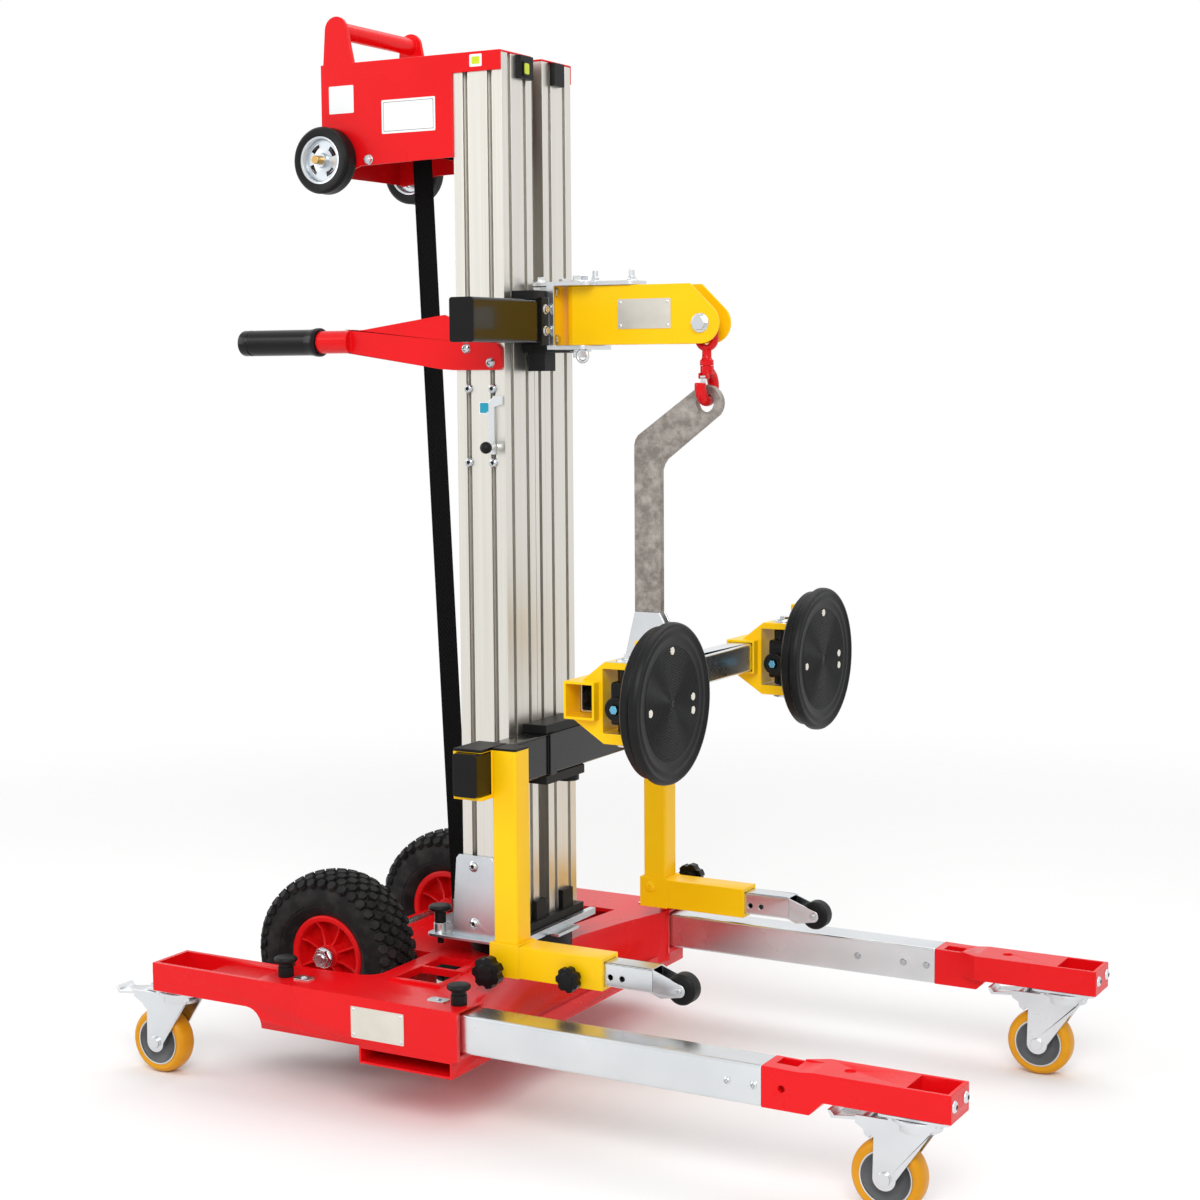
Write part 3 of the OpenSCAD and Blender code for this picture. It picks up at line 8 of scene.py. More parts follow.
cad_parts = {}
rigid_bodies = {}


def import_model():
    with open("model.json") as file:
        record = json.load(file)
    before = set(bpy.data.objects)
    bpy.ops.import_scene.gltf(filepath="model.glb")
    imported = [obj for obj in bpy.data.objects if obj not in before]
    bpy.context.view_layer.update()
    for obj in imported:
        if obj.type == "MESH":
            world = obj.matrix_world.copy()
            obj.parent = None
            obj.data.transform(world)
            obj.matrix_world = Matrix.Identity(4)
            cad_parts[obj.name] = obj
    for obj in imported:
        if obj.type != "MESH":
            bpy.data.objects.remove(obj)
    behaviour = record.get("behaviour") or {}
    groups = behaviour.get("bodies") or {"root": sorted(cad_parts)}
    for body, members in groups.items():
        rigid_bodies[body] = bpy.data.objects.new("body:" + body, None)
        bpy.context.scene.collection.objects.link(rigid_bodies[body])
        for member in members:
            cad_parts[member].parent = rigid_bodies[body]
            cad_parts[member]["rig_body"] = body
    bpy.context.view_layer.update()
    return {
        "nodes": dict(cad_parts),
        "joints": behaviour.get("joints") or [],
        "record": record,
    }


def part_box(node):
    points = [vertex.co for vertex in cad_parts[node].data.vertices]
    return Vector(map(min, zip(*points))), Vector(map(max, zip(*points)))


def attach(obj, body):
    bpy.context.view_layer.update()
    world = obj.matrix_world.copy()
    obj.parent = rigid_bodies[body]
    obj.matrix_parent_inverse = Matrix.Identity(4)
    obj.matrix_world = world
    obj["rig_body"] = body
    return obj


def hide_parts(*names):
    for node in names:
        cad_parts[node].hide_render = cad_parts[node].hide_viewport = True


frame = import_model()
print("frame loaded:", len(frame["nodes"]), "nodes")

mm = 0.001
joints = {joint["name"]: joint for joint in frame["joints"]}
slots = {part["node"]: part["material_slot"] for part in frame["record"]["subparts"]}
outwardOf = {"near": -1, "far": 1}      # each side's direction along Y


def spotOf(jointName):      # a joint's place in millimetres
    return Vector(joints[jointName]["pos_m"]) / mm


boxes = {}


def boxOf(node):            # a node's lowest and highest corners in millimetres
    if node not in boxes:
        low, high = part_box(node)
        boxes[node] = (low / mm, high / mm)
    return boxes[node]


def linear(hexText):        # sRGB hex to linear colour
    channels = [int(hexText[i:i + 2], 16) / 255 for i in (1, 3, 5)]
    return [c / 12.92 if c <= 0.04045 else ((c + 0.055) / 1.055) ** 2.4 for c in channels] + [1.0]


def addNode(tree, kind, links=None, settings=None):
    # a node whose inputs are linked to sockets or hold plain values
    node = tree.nodes.new(kind)
    for name, value in (settings or {}).items():
        setattr(node, name, value)
    for socket, value in (links or {}).items():
        if isinstance(value, bpy.types.NodeSocket):
            tree.links.new(value, node.inputs[socket])
        else:
            node.inputs[socket].default_value = value
    return node


def freshTree(owner):       # the empty node tree of a material or world
    owner.use_nodes = True
    owner.node_tree.nodes.clear()
    return owner.node_tree


def newObject(name, data):
    made = bpy.data.objects.new(name, data)
    bpy.context.scene.collection.objects.link(made)
    return made


# Materials

def startMaterial(name, roughness, metallic=0.0, coat=0.0, ior=1.5, shine=0.18):
    material = bpy.data.materials.new(name)
    tree = freshTree(material)
    shader = addNode(tree, "ShaderNodeBsdfPrincipled", {"Roughness": roughness, "Metallic": metallic})
    if metallic < 0.5:
        shader.inputs["IOR"].default_value = ior
        shader.inputs["Specular IOR Level"].default_value = shine
        shader.inputs["Coat Weight"].default_value = coat
        shader.inputs["Coat Roughness"].default_value = 0.08
    addNode(tree, "ShaderNodeOutputMaterial", {"Surface": shader.outputs["BSDF"]})
    spot = addNode(tree, "ShaderNodeTexCoord").outputs["Object"]
    return material, tree, shader, spot


def blendTwo(tree, shader, factor, low, high):
    mix = addNode(tree, "ShaderNodeMix", {0: factor, 6: linear(low), 7: linear(high)}, {"data_type": "RGBA"})
    tree.links.new(mix.outputs[2], shader.inputs["Base Color"])


def varyRoughness(tree, shader, factor, low, high):
    span = addNode(tree, "ShaderNodeMapRange", {0: factor, 3: low, 4: high})
    tree.links.new(span.outputs[0], shader.inputs["Roughness"])


def relief(tree, shader, height, depth, strength):
    links = {"Strength": strength, "Distance": depth * mm, "Height": height}
    bump = addNode(tree, "ShaderNodeBump", links)
    tree.links.new(bump.outputs["Normal"], shader.inputs["Normal"])


def noise(tree, spot, size, detail, rough=0.5):
    # grey clouds of a size in millimetres
    links = {"Vector": spot, "Scale": 1 / (size * mm), "Detail": detail, "Roughness": rough}
    return addNode(tree, "ShaderNodeTexNoise", links).outputs[0]


def powderCoat(name, light, dark, roughness=0.26, coat=0.06):
    # polyester powder baked on sheet steel: even gloss with a faint orange peel
    material, tree, shader, spot = startMaterial(name, roughness, coat=coat)
    cloud = noise(tree, spot, 1000 / 6, 4.0)
    blendTwo(tree, shader, cloud, dark, light)
    varyRoughness(tree, shader, cloud, roughness - 0.05, roughness + 0.08)
    # the real peel is about 2 mm, drawn at 5 mm so that it shows
    relief(tree, shader, noise(tree, spot, 5, 1.0), 0.05, 0.35)
    return material


def zincPlated(name, light="#E6E9EB", dark="#C6CACE", roughness=0.24, cloudSize=90):
    # bright electroplated steel with a blue passivation: even gloss, faint clouds, fine rub marks
    material, tree, shader, spot = startMaterial(name, roughness, metallic=1.0)
    cloud = noise(tree, spot, cloudSize, 4.0)
    blendTwo(tree, shader, cloud, dark, light)
    varyRoughness(tree, shader, cloud, roughness - 0.05, roughness + 0.09)
    relief(tree, shader, noise(tree, spot, 1.5, 2.0), 0.02, 0.15)
    return material


def anodised():
    # satin anodised aluminium extrusion: die lines about 1.6 mm apart run along its length
    material, tree, shader, spot = startMaterial("anodisedAluminium", 0.34, metallic=1.0)
    drawn = addNode(tree, "ShaderNodeMapping", {"Vector": spot, "Scale": (1.0, 1.0, 0.0032)})
    lines = noise(tree, drawn.outputs[0], 1.6, 3.0)
    blendTwo(tree, shader, lines, "#CDCAC2", "#E6E3DC")
    varyRoughness(tree, shader, lines, 0.26, 0.4)
    relief(tree, shader, lines, 0.02, 0.3)
    return material


def moulded(name, light, dark, roughness, grain=1.2, coat=0.0):
    # injection moulded plastic with a fine spark-eroded grain
    material, tree, shader, spot = startMaterial(name, roughness, coat=coat)
    cloud = noise(tree, spot, 40, 3.0)
    blendTwo(tree, shader, cloud, dark, light)
    varyRoughness(tree, shader, cloud, roughness - 0.06, roughness + 0.1)
    relief(tree, shader, noise(tree, spot, grain, 2.0), 0.06, 0.4)
    return material


def vulcanised(name, light, dark, roughness, bloom):
    # carbon-black rubber: matt, with a pale bloom of dust in patches
    material, tree, shader, spot = startMaterial(name, roughness, ior=1.52)
    patches = {0: noise(tree, spot, 22, 6.0), 1: 0.45, 2: 0.75, 3: 0.0, 4: bloom}
    ramp = addNode(tree, "ShaderNodeMapRange", patches)
    blendTwo(tree, shader, ramp.outputs[0], dark, light)
    relief(tree, shader, noise(tree, spot, 1.5, 3.0), 0.1, 0.5)
    return material


def millSteel():
    # hot-rolled flat bar: dull grey scale with paler rubbed spots
    material, tree, shader, spot = startMaterial("hotRolledSteel", 0.45, metallic=0.85)
    scale = noise(tree, spot, 18, 8.0, 0.7)
    ramp = addNode(tree, "ShaderNodeMapRange", {0: scale, 1: 0.4, 2: 0.72})
    blendTwo(tree, shader, ramp.outputs[0], "#827B75", "#BBB5AE")
    varyRoughness(tree, shader, scale, 0.36, 0.6)
    relief(tree, shader, scale, 0.08, 0.4)
    return material


def beltWebbing():
    # polyester webbing, twill ribs 2 mm apart, drawn at 4 mm so that they show
    material, tree, shader, spot = startMaterial("polyesterWebbing", 0.78, shine=0.06)
    links = {"Vector": spot, "Scale": 1 / (4 * 3.2 * mm), "Distortion": 0.4, "Detail": 1.0}
    weave = addNode(tree, "ShaderNodeTexWave", links, {"bands_direction": "DIAGONAL"}).outputs[1]
    blendTwo(tree, shader, weave, "#070708", "#141416")
    relief(tree, shader, weave, 0.3, 0.6)
    return material


finish = {
    "red": powderCoat("redPowderCoat", "#EA1219", "#D60C13"),
    "yellow": powderCoat("yellowPowderCoat", "#FFD010", "#F9C004", 0.3),
    "blackPaint": powderCoat("blackPowderCoat", "#151516", "#0B0B0C", 0.17, 0.3),
    "hookPaint": powderCoat("redHookEnamel", "#E30F18", "#C40A12", 0.14),
    "zinc": zincPlated("zincPlatedSteel"),
    "boltZinc": zincPlated("zincPlatedScrew", "#CDD1D4", "#9DA2A7", 0.2, 12),
    "plateZinc": zincPlated("zincPlatedSheet", "#DCE1E5", "#B7BEC4", 0.28, 45),
    "brass": zincPlated("yellowPassivatedZinc", "#DDB677", "#B08A4C", 0.3),
    "blueZinc": zincPlated("bluePassivatedZinc", "#7FC4E0", "#3E8FB8", 0.22),
    "anodised": anodised(),
    "nylon": moulded("blackNylon", "#161617", "#0C0C0D", 0.42),
    "gloss": moulded("glossBlackPlastic", "#0F0F10", "#080809", 0.2, 2.0, 0.04),
    "rimPlastic": moulded("redPolypropylene", "#EA161B", "#D00F13", 0.34),
    "polyurethane": moulded("castPolyurethane", "#E3A11E", "#CB860F", 0.34, 1.5),
    "hubGrey": moulded("greyNylon", "#6E7072", "#4E5052", 0.4),
    "dieCast": zincPlated("dieCastAluminium", "#E2E2DF", "#BEBFBE", 0.3, 20),
    "tyreRubber": vulcanised("tyreRubber", "#403E3C", "#111112", 0.62, 0.5),
    "wheelRubber": vulcanised("solidRubber", "#2A2A2B", "#0E0E0F", 0.45, 0.3),
    "padRubber": vulcanised("nitrileRubber", "#1F2021", "#0C0D0E", 0.42, 0.35),
    "steel": millSteel(),
    "webbing": beltWebbing(),
    "label": moulded("whiteVinyl", "#F2F3F2", "#E6E8E7", 0.38, 3.0),
    "plate": zincPlated("satinAluminiumPlate", "#E6E2D8", "#CFCBC0", 0.34, 30),
    "blueVinyl": moulded("blueVinyl", "#2FA3BE", "#2593AE", 0.38, 3.0),
    "vial": moulded("yellowAcrylicVial", "#D7E021", "#B9C81A", 0.12, 6.0, 0.5),
    "felt": moulded("whiteFeltDot", "#F3EFE6", "#DCD6C8", 0.9, 1.0),
}
print("materials made:", len(finish))


# Meshes: new shapes are drawn in millimetres in the part's frame and made metres at the end

meshSize = {"solidMerge": 0.02, "drawnMerge": 0.001, "flatAngle": 0.8, "sharpAngle": 34, "bevelSegments": 2}


def addPiece(name, mesh, finishes, node):
    # a piece of a node's body, with the given finishes
    piece = newObject(name, mesh)
    for key in finishes:
        mesh.materials.append(finish[key])
    body, slot = frame["nodes"][node]["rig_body"], slots[node]
    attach(piece, body)
    return piece


def roundEdges(piece, width):
    bevel = piece.modifiers.new("edges", "BEVEL")
    bevel.width = width * mm
    bevel.segments = meshSize["bevelSegments"]
    bevel.limit_method = "ANGLE"
    bevel.angle_limit = math.radians(meshSize["sharpAngle"])
    bevel.use_clamp_overlap = False
    bevel.harden_normals = True


def toMesh(shape, name):     # a smooth mesh whose sharp edges stay sharp
    mesh = bpy.data.meshes.new(name)
    shape.to_mesh(mesh)
    shape.free()
    mesh.shade_smooth()
    mesh.set_sharp_from_angle(angle=math.radians(meshSize["sharpAngle"]))
    return mesh


def camel(node):
    words = node.split("_")
    return words[0] + "".join(word.capitalize() for word in words[1:])


def dress(node, finishes, pick=None, edge=0.8, cuts=()):
    # a merged copy of a node, with rounded edges and one material for each face
    shape = bmesh.new()
    shape.from_mesh(frame["nodes"][node].data)
    bmesh.ops.remove_doubles(shape, verts=shape.verts, dist=meshSize["solidMerge"] * mm)
    flat = math.radians(meshSize["flatAngle"])
    bmesh.ops.dissolve_limit(shape, angle_limit=flat, verts=shape.verts, edges=shape.edges)
    for spot, normal in cuts:   # new edges where two finishes meet on a flat face
        parts = shape.verts[:] + shape.edges[:] + shape.faces[:]
        bmesh.ops.bisect_plane(shape, geom=parts, plane_co=Vector(spot) * mm, plane_no=Vector(normal))
    for face in shape.faces:
        face.material_index = pick(face.calc_center_median_weighted() / mm) if pick else 0
    piece = addPiece(camel(node), toMesh(shape, camel(node)), finishes, node)
    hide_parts(node)
    if edge:
        roundEdges(piece, edge)


def closeShape(shape, name, finishes, node, stands=(), edge=0.0):
    # ends a shape drawn in millimetres
    bmesh.ops.remove_doubles(shape, verts=shape.verts, dist=meshSize["drawnMerge"])
    bmesh.ops.recalc_face_normals(shape, faces=shape.faces)
    shape.transform(Matrix.Scale(mm, 4))
    piece = addPiece(name, toMesh(shape, name), finishes, node)
    if stands:
        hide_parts(*stands)
    if edge:
        roundEdges(piece, edge)


def facing(spot, axis, up=(0, 0, 1)):    # local Z along axis, local Y near up
    z = Vector(axis).normalized()
    x = Vector(up).cross(z)
    x = x.normalized() if x.length > 0.01 else Vector((1, 0, 0))
    y = z.cross(x)
    return Matrix.Translation(spot) @ Matrix((x, y, z)).transposed().to_4x4()


def mirrored(profile):
    return [(radius, -height) for radius, height in reversed(profile)]


def bothSides(half):     # a profile and its mirror image below
    return half + mirrored(half)


def turn(shape, profile, place, steps, kind=0, closed=True):
    # turns a profile of (radius, height) round the place's Z axis
    rings = []
    for radius, height in profile:
        outline = [(0, 0)] if radius < 0.001 else ringOutline(radius, steps)
        rings.append([shape.verts.new(place @ Vector((x, y, height))) for x, y in outline])
    following = rings[1:] + rings[:1] if closed else rings[1:]
    for first, second in zip(rings, following):
        if len(first) == 1 and len(second) == 1:
            continue
        for k in range(steps):
            corners = [first[k % len(first)], first[(k + 1) % len(first)],
                       second[(k + 1) % len(second)], second[k % len(second)]]
            corners = list(dict.fromkeys(corners))
            if len(corners) > 2:
                shape.faces.new(corners).material_index = kind


def press(shape, outline, place, low, high, kind=0):
    # raises a flat outline along the place's Z axis
    bottom = [shape.verts.new(place @ Vector((x, y, low))) for x, y in outline]
    top = [shape.verts.new(place @ Vector((x, y, high))) for x, y in outline]
    count = len(outline)
    shape.faces.new(bottom[::-1]).material_index = kind
    shape.faces.new(top).material_index = kind
    for k in range(count):
        wall = [bottom[k], bottom[(k + 1) % count], top[(k + 1) % count], top[k]]
        shape.faces.new(wall).material_index = kind


def ringOutline(radius, count):
    turns = [2 * math.pi * k / count for k in range(count)]
    return [(radius * math.cos(a), radius * math.sin(a)) for a in turns]


def roundedOutline(width, height, radius):
    points = []
    for x, y, start in ((1, 1, 0), (-1, 1, 90), (-1, -1, 180), (1, -1, 270)):
        points += arc(x * (width / 2 - radius), y * (height / 2 - radius), radius, start, start + 90, 4)
    return points


def arc(cx, cy, radius, start, end, count):
    turns = [math.radians(start + (end - start) * k / count) for k in range(count + 1)]
    return [(cx + radius * math.cos(a), cy + radius * math.sin(a)) for a in turns]


# Geometry node trees for what repeats

def startTree(name, sizes):
    tree = bpy.data.node_groups.new(name, "GeometryNodeTree")
    tree.interface.new_socket("Geometry", in_out="INPUT", socket_type="NodeSocketGeometry")
    for label, kind in sizes.items():
        tree.interface.new_socket(label, in_out="INPUT", socket_type="NodeSocket" + kind)
    tree.interface.new_socket("Geometry", in_out="OUTPUT", socket_type="NodeSocketGeometry")
    return tree, addNode(tree, "NodeGroupInput").outputs


def mathsIn(tree):     # gives a function that adds one sum to the tree
    def calc(operation, a, b=0.0):
        return addNode(tree, "ShaderNodeMath", {0: a, 1: b}, {"operation": operation}).outputs[0]
    return calc


def endTree(tree, geometry, material):
    real = addNode(tree, "GeometryNodeRealizeInstances", {0: geometry})
    finished = addNode(tree, "GeometryNodeSetMaterial", {0: real.outputs[0], "Material": material})
    addNode(tree, "NodeGroupOutput", {0: finished.outputs[0]})
    return tree


def grow(tree, values, points=()):
    # runs a tree on some points and gives its plain mesh
    mesh = bpy.data.meshes.new("seed")
    mesh.from_pydata([tuple(point) for point in points], [], [])
    carrier = newObject("seed", mesh)
    modifier = carrier.modifiers.new("grow", "NODES")
    modifier.node_group = tree
    for item in tree.interface.items_tree:
        if item.in_out == "INPUT" and item.name in values:
            modifier[item.identifier] = values[item.name]
    bpy.context.view_layer.update()
    view = bpy.context.evaluated_depsgraph_get()
    result = bpy.data.meshes.new_from_object(carrier.evaluated_get(view))
    carrier.modifiers.remove(modifier)
    bpy.data.objects.remove(carrier)
    return result


def addMesh(shape, mesh, place, kind=0):
    # puts a grown mesh into a shape, at a place
    extra = bmesh.new()
    extra.from_mesh(mesh)
    extra.transform(place)
    extra.to_mesh(mesh)
    extra.free()
    before = len(shape.faces)
    shape.from_mesh(mesh)
    shape.faces.ensure_lookup_table()
    for face in shape.faces[before:]:
        face.material_index = kind


def treadTree():
    # blocks in rows round a tyre, each row turned half a block from the last
    sizes = {"Count": "Int", "Rows": "Int", "Radius": "Float", "Row Pitch": "Float", "Crown": "Float",
             "Block": "Float", "Depth": "Float", "Seed": "Int", "Finish": "Material"}
    tree, size = startTree("tyreTread", sizes)
    calc = mathsIn(tree)
    total = calc("MULTIPLY", size["Count"], size["Rows"])
    points = addNode(tree, "GeometryNodePoints", {"Count": total})
    index = addNode(tree, "GeometryNodeInputIndex").outputs[0]
    row = calc("FLOOR", calc("DIVIDE", calc("ADD", index, 0.5), size["Count"]))
    across = calc("SUBTRACT", row, calc("DIVIDE", calc("SUBTRACT", size["Rows"], 1.0), 2.0))
    lateral = calc("MULTIPLY", across, size["Row Pitch"])
    step = calc("ADD", index, calc("MULTIPLY", row, 0.5))
    angle = calc("DIVIDE", calc("MULTIPLY", step, 2 * math.pi), size["Count"])
    drop = calc("MULTIPLY", calc("MULTIPLY", lateral, lateral), size["Crown"])
    radius = calc("SUBTRACT", size["Radius"], drop)
    ahead = calc("MULTIPLY", radius, calc("COSINE", angle))
    aside = calc("MULTIPLY", radius, calc("SINE", angle))
    spot = addNode(tree, "ShaderNodeCombineXYZ", {0: ahead, 1: aside, 2: lateral})
    camber = calc("MULTIPLY", calc("MULTIPLY", lateral, size["Crown"]), -2.0)
    twist = addNode(tree, "FunctionNodeRandomValue", {2: -0.25, 3: 0.25, "Seed": size["Seed"]},
                    {"data_type": "FLOAT"})
    tilt = addNode(tree, "ShaderNodeCombineXYZ", {0: twist.outputs[1], 1: camber, 2: angle})
    placed = addNode(tree, "GeometryNodeSetPosition", {0: points.outputs[0], "Position": spot.outputs[0]})
    block = addNode(tree, "GeometryNodeMeshCone",
                    {"Vertices": 6, "Radius Top": calc("MULTIPLY", size["Block"], 0.8),
                     "Radius Bottom": size["Block"], "Depth": size["Depth"]})
    lying = addNode(tree, "GeometryNodeTransform",
                    {0: block.outputs["Mesh"], "Rotation": (0.0, math.pi / 2, 0.0), "Scale": (1.0, 1.0, 1.0)})
    copies = addNode(tree, "GeometryNodeInstanceOnPoints",
                     {"Points": placed.outputs[0], "Instance": lying.outputs[0], "Rotation": tilt.outputs[0]})
    return endTree(tree, copies.outputs[0], size["Finish"])


def boltTree():
    # a washer, a hexagon and the rounded end of a screw on every point
    tree, size = startTree("hexNut", {"Across": "Float", "Height": "Float", "Tilt": "Vector",
                                      "Finish": "Material"})
    calc = mathsIn(tree)
    parts = []
    for sides, wide, low, tall in ((24, 0.62, 0.0, 0.2), (6, 0.55, 0.2, 0.6), (16, 0.3, 0.7, 0.3)):
        depth = calc("MULTIPLY", size["Height"], tall)
        disc = addNode(tree, "GeometryNodeMeshCone",
                       {"Vertices": sides, "Radius Top": calc("MULTIPLY", size["Across"], wide * 0.94),
                        "Radius Bottom": calc("MULTIPLY", size["Across"], wide), "Depth": depth})
        up = addNode(tree, "ShaderNodeCombineXYZ", {2: calc("MULTIPLY", size["Height"], low)})
        raised = addNode(tree, "GeometryNodeTransform",
                         {0: disc.outputs["Mesh"], "Translation": up.outputs[0]})
        parts.append(raised.outputs[0])
    joined = addNode(tree, "GeometryNodeJoinGeometry")
    for part in parts:
        tree.links.new(part, joined.inputs[0])
    copies = addNode(tree, "GeometryNodeInstanceOnPoints",
                     {"Points": size["Geometry"], "Instance": joined.outputs[0], "Rotation": size["Tilt"]})
    return endTree(tree, copies.outputs[0], size["Finish"])


def rivetTree():
    # a domed rivet head on every point
    tree, size = startTree("domedRivet", {"Radius": "Float", "Tilt": "Vector", "Finish": "Material"})
    dome = addNode(tree, "GeometryNodeMeshUVSphere", {"Segments": 16, "Rings": 8, "Radius": size["Radius"]})
    flat = addNode(tree, "GeometryNodeTransform", {0: dome.outputs["Mesh"], "Scale": (1.0, 1.0, 0.45)})
    copies = addNode(tree, "GeometryNodeInstanceOnPoints",
                     {"Points": size["Geometry"], "Instance": flat.outputs[0], "Rotation": size["Tilt"]})
    return endTree(tree, copies.outputs[0], size["Finish"])


trees = {"tread": treadTree(), "bolt": boltTree(), "rivet": rivetTree()}
print("node trees made:", len(trees))


# Pneumatic tyres on spoked rims

tyreSize = {"blocks": 38, "rows": 5, "rowPitch": 12.6, "block": 8.6, "depth": 6.0, "crown": 0.006,
            "shoulderTrack": 67.0, "shoulderCrown": 0.0115, "rim": 60.0, "spokes": 8, "spokeThickness": 3.2,
            "hub": 17.0, "hubHalf": 26, "axle": 9}
tyreNut = {"reach": 34.0, "across": 26.0, "height": 12.0}


def addNuts(name, node, spots, axis, size, kind="zinc"):
    # nuts with washers, their screws pointing along an axis
    place = facing((0, 0, 0), axis)
    settings = {"Across": size["across"], "Height": size["height"], "Tilt": tuple(place.to_euler()),
                "Finish": finish[kind]}
    shape = bmesh.new()
    addMesh(shape, grow(trees["bolt"], settings, spots), Matrix())
    closeShape(shape, name, [kind], node, edge=0.3)


def makeTyreTread(side, place):
    # an open casing with five rows of blocks on its crown and one on each shoulder
    node = "tyre_" + side
    low, high = boxOf(node)
    half = (high.y - low.y) / 2
    rim = tyreSize["rim"]
    base = (high.z - low.z) / 2 - tyreSize["depth"] + 1.0
    crown = [(base - tyreSize["crown"] * h * h, h) for h in (-30, -22, -12, 0, 12, 22, 30)]
    shoulder = [(107.5, 34.5), (101.0, 37.8), (93.0, half - 0.4), (86.0, half), (78.0, half - 0.8),
                (77.0, half - 2.0), (75.0, half - 1.8), (70.0, half - 4.5), (66.0, half - 8.5),
                (rim + 2, half - 12.5), (rim - 3, half - 17)]
    rubber = bmesh.new()
    turn(rubber, mirrored(shoulder) + crown + shoulder, place, 96)
    settings = {"Count": tyreSize["blocks"], "Rows": tyreSize["rows"], "Radius": base - 1.5,
                "Row Pitch": tyreSize["rowPitch"], "Crown": tyreSize["crown"], "Block": tyreSize["block"],
                "Depth": tyreSize["depth"] + 0.4, "Seed": 4, "Finish": finish["tyreRubber"]}
    addMesh(rubber, grow(trees["tread"], settings), place)
    settings.update({"Rows": 2, "Row Pitch": tyreSize["shoulderTrack"], "Crown": tyreSize["shoulderCrown"],
                     "Radius": base + 2.4, "Seed": 9})
    addMesh(rubber, grow(trees["tread"], settings), place)
    closeShape(rubber, "tyreTread" + side.capitalize(), ["tyreRubber"], node, [node])


def makeTyreRim(side, place):
    rim, hub, end = tyreSize["rim"], tyreSize["hub"], tyreSize["hubHalf"]
    wheel = bmesh.new()
    flange = [(rim - 9, 26), (rim - 7, 28.5), (rim - 2, 29.5), (rim + 1, 28), (rim + 1.5, 25)]
    well = [(rim - 3, 23), (rim - 4, -23)]      # 1 mm deeper at its inner end
    turn(wheel, flange + well + mirrored(flange) + [(rim - 10, -3), (rim - 10, 3)], place, 72)
    half = [(tyreSize["axle"], end), (hub - 1, end), (hub, end - 1), (hub + 1.5, 3), (rim - 9, 2.5)]
    turn(wheel, bothSides(half), place, 48)
    web = tyreSize["spokeThickness"] / 2
    for k in range(tyreSize["spokes"]):
        turned = Matrix.Rotation(2 * math.pi * (k + 0.5) / tyreSize["spokes"], 4, "Z")
        spoke = place @ turned @ Matrix.Rotation(math.radians(90), 4, "X")
        for face in (1, -1):
            outline = [(hub - 1, 0), (rim - 8.5, 0), (rim - 8.5, face * 24), (rim - 18, face * 19),
                       (hub + 8, face * 20), (hub - 1, face * 24)]
            press(wheel, outline, spoke, -web, web)
    closeShape(wheel, "tyreRim" + side.capitalize(), ["rimPlastic"], "tyre_" + side, edge=0.6)


for side, outward in outwardOf.items():
    middle = spotOf("tyre_roll_" + side)
    axis = (0, outward, 0)
    makeTyreTread(side, facing(middle, axis))
    makeTyreRim(side, facing(middle, axis))
    spot = middle + Vector(axis) * tyreNut["reach"]
    addNuts("tyreNut" + side.capitalize(), "chassis_fittings", [spot], axis, tyreNut)
print("tyres made")


# Casters

casterSize = {"treadInner": 34.0, "crown": 0.006, "ring": 35.0, "core": 32.0, "hub": 11.5, "bore": 5.1}


def makeCasterWheel(end, side):
    node = "caster_wheel_%s_%s" % (end, side)
    low, high = boxOf(node)
    radius = (high.z - low.z) / 2
    half = (high.y - low.y) / 2 - 1
    place = facing(spotOf("caster_roll_%s_%s" % (end, side)), (0, 1, 0))
    inner, ring, core, hub = (casterSize[key] for key in ("treadInner", "ring", "core", "hub"))
    shoulder = [(inner, 14), (36, 15), (41, 15.8), (44.5, 13.5), (46.3, 10.5)]
    tread = shoulder + [(radius - casterSize["crown"] * h * h, h) for h in (7, 3.5, 0, -3.5, -7)]
    shape = bmesh.new()
    turn(shape, tread + mirrored(shoulder), place, 64, 0)
    turn(shape, bothSides([(core, 13.5), (core + 0.6, 15.2), (ring - 0.6, 15.6), (ring, 14)]), place, 56, 1)
    web = [(hub - 1, 4), (15, 3.5), (18, 5), (20, 5), (23, 6), (28, 9.5), (31, 13.2), (core + 0.5, 13.6)]
    turn(shape, bothSides(web), place, 56, 2)
    sleeve = [(casterSize["bore"], half), (8.5, half + 0.8), (hub, half - 2), (hub, 4)]
    turn(shape, bothSides(sleeve), place, 36, 2)
    closeShape(shape, camel(node), ["polyurethane", "dieCast", "hubGrey"], node, [node])


for end in ("rear", "front"):
    for side in outwardOf:
        makeCasterWheel(end, side)
        dress("caster_fork_%s_%s" % (end, side), ["zinc"], edge=0.5)
        dress("brake_pedal_%s_%s" % (end, side), ["zinc"], edge=0.5)
print("casters made")


# Chassis, legs and plungers

chassisSize = {"barrelFoot": 172.0, "barrelReach": 13.0, "ringReach": 76.0, "knobFoot": 186.9,
               "plateTop": 131.95, "plateReach": 100.0, "tipInset": 3.6, "tipDrop": 16.0,
               "tipBolts": (10.0, 50.0), "socketShadeRadius": 3.4, "socketShadeFloor": 3.4}
barrels = [sum(boxOf("plunger_%s_%s" % (end, side)), Vector()) / 2
           for end in ("front", "rear") for side in ("near", "far")]


def pickFitting(centre):     # black barrels under the plungers' knobs and black round the mast's turn under the foot plate, zinc everywhere else
    reaches = [(spot, chassisSize["barrelReach"]) for spot in barrels]
    reaches.append((spotOf("mast_turn"), chassisSize["ringReach"]))
    near = any(math.hypot(centre.x - spot.x, centre.y - spot.y) < reach for spot, reach in reaches)
    return 1 if near and centre.z > chassisSize["barrelFoot"] else 0


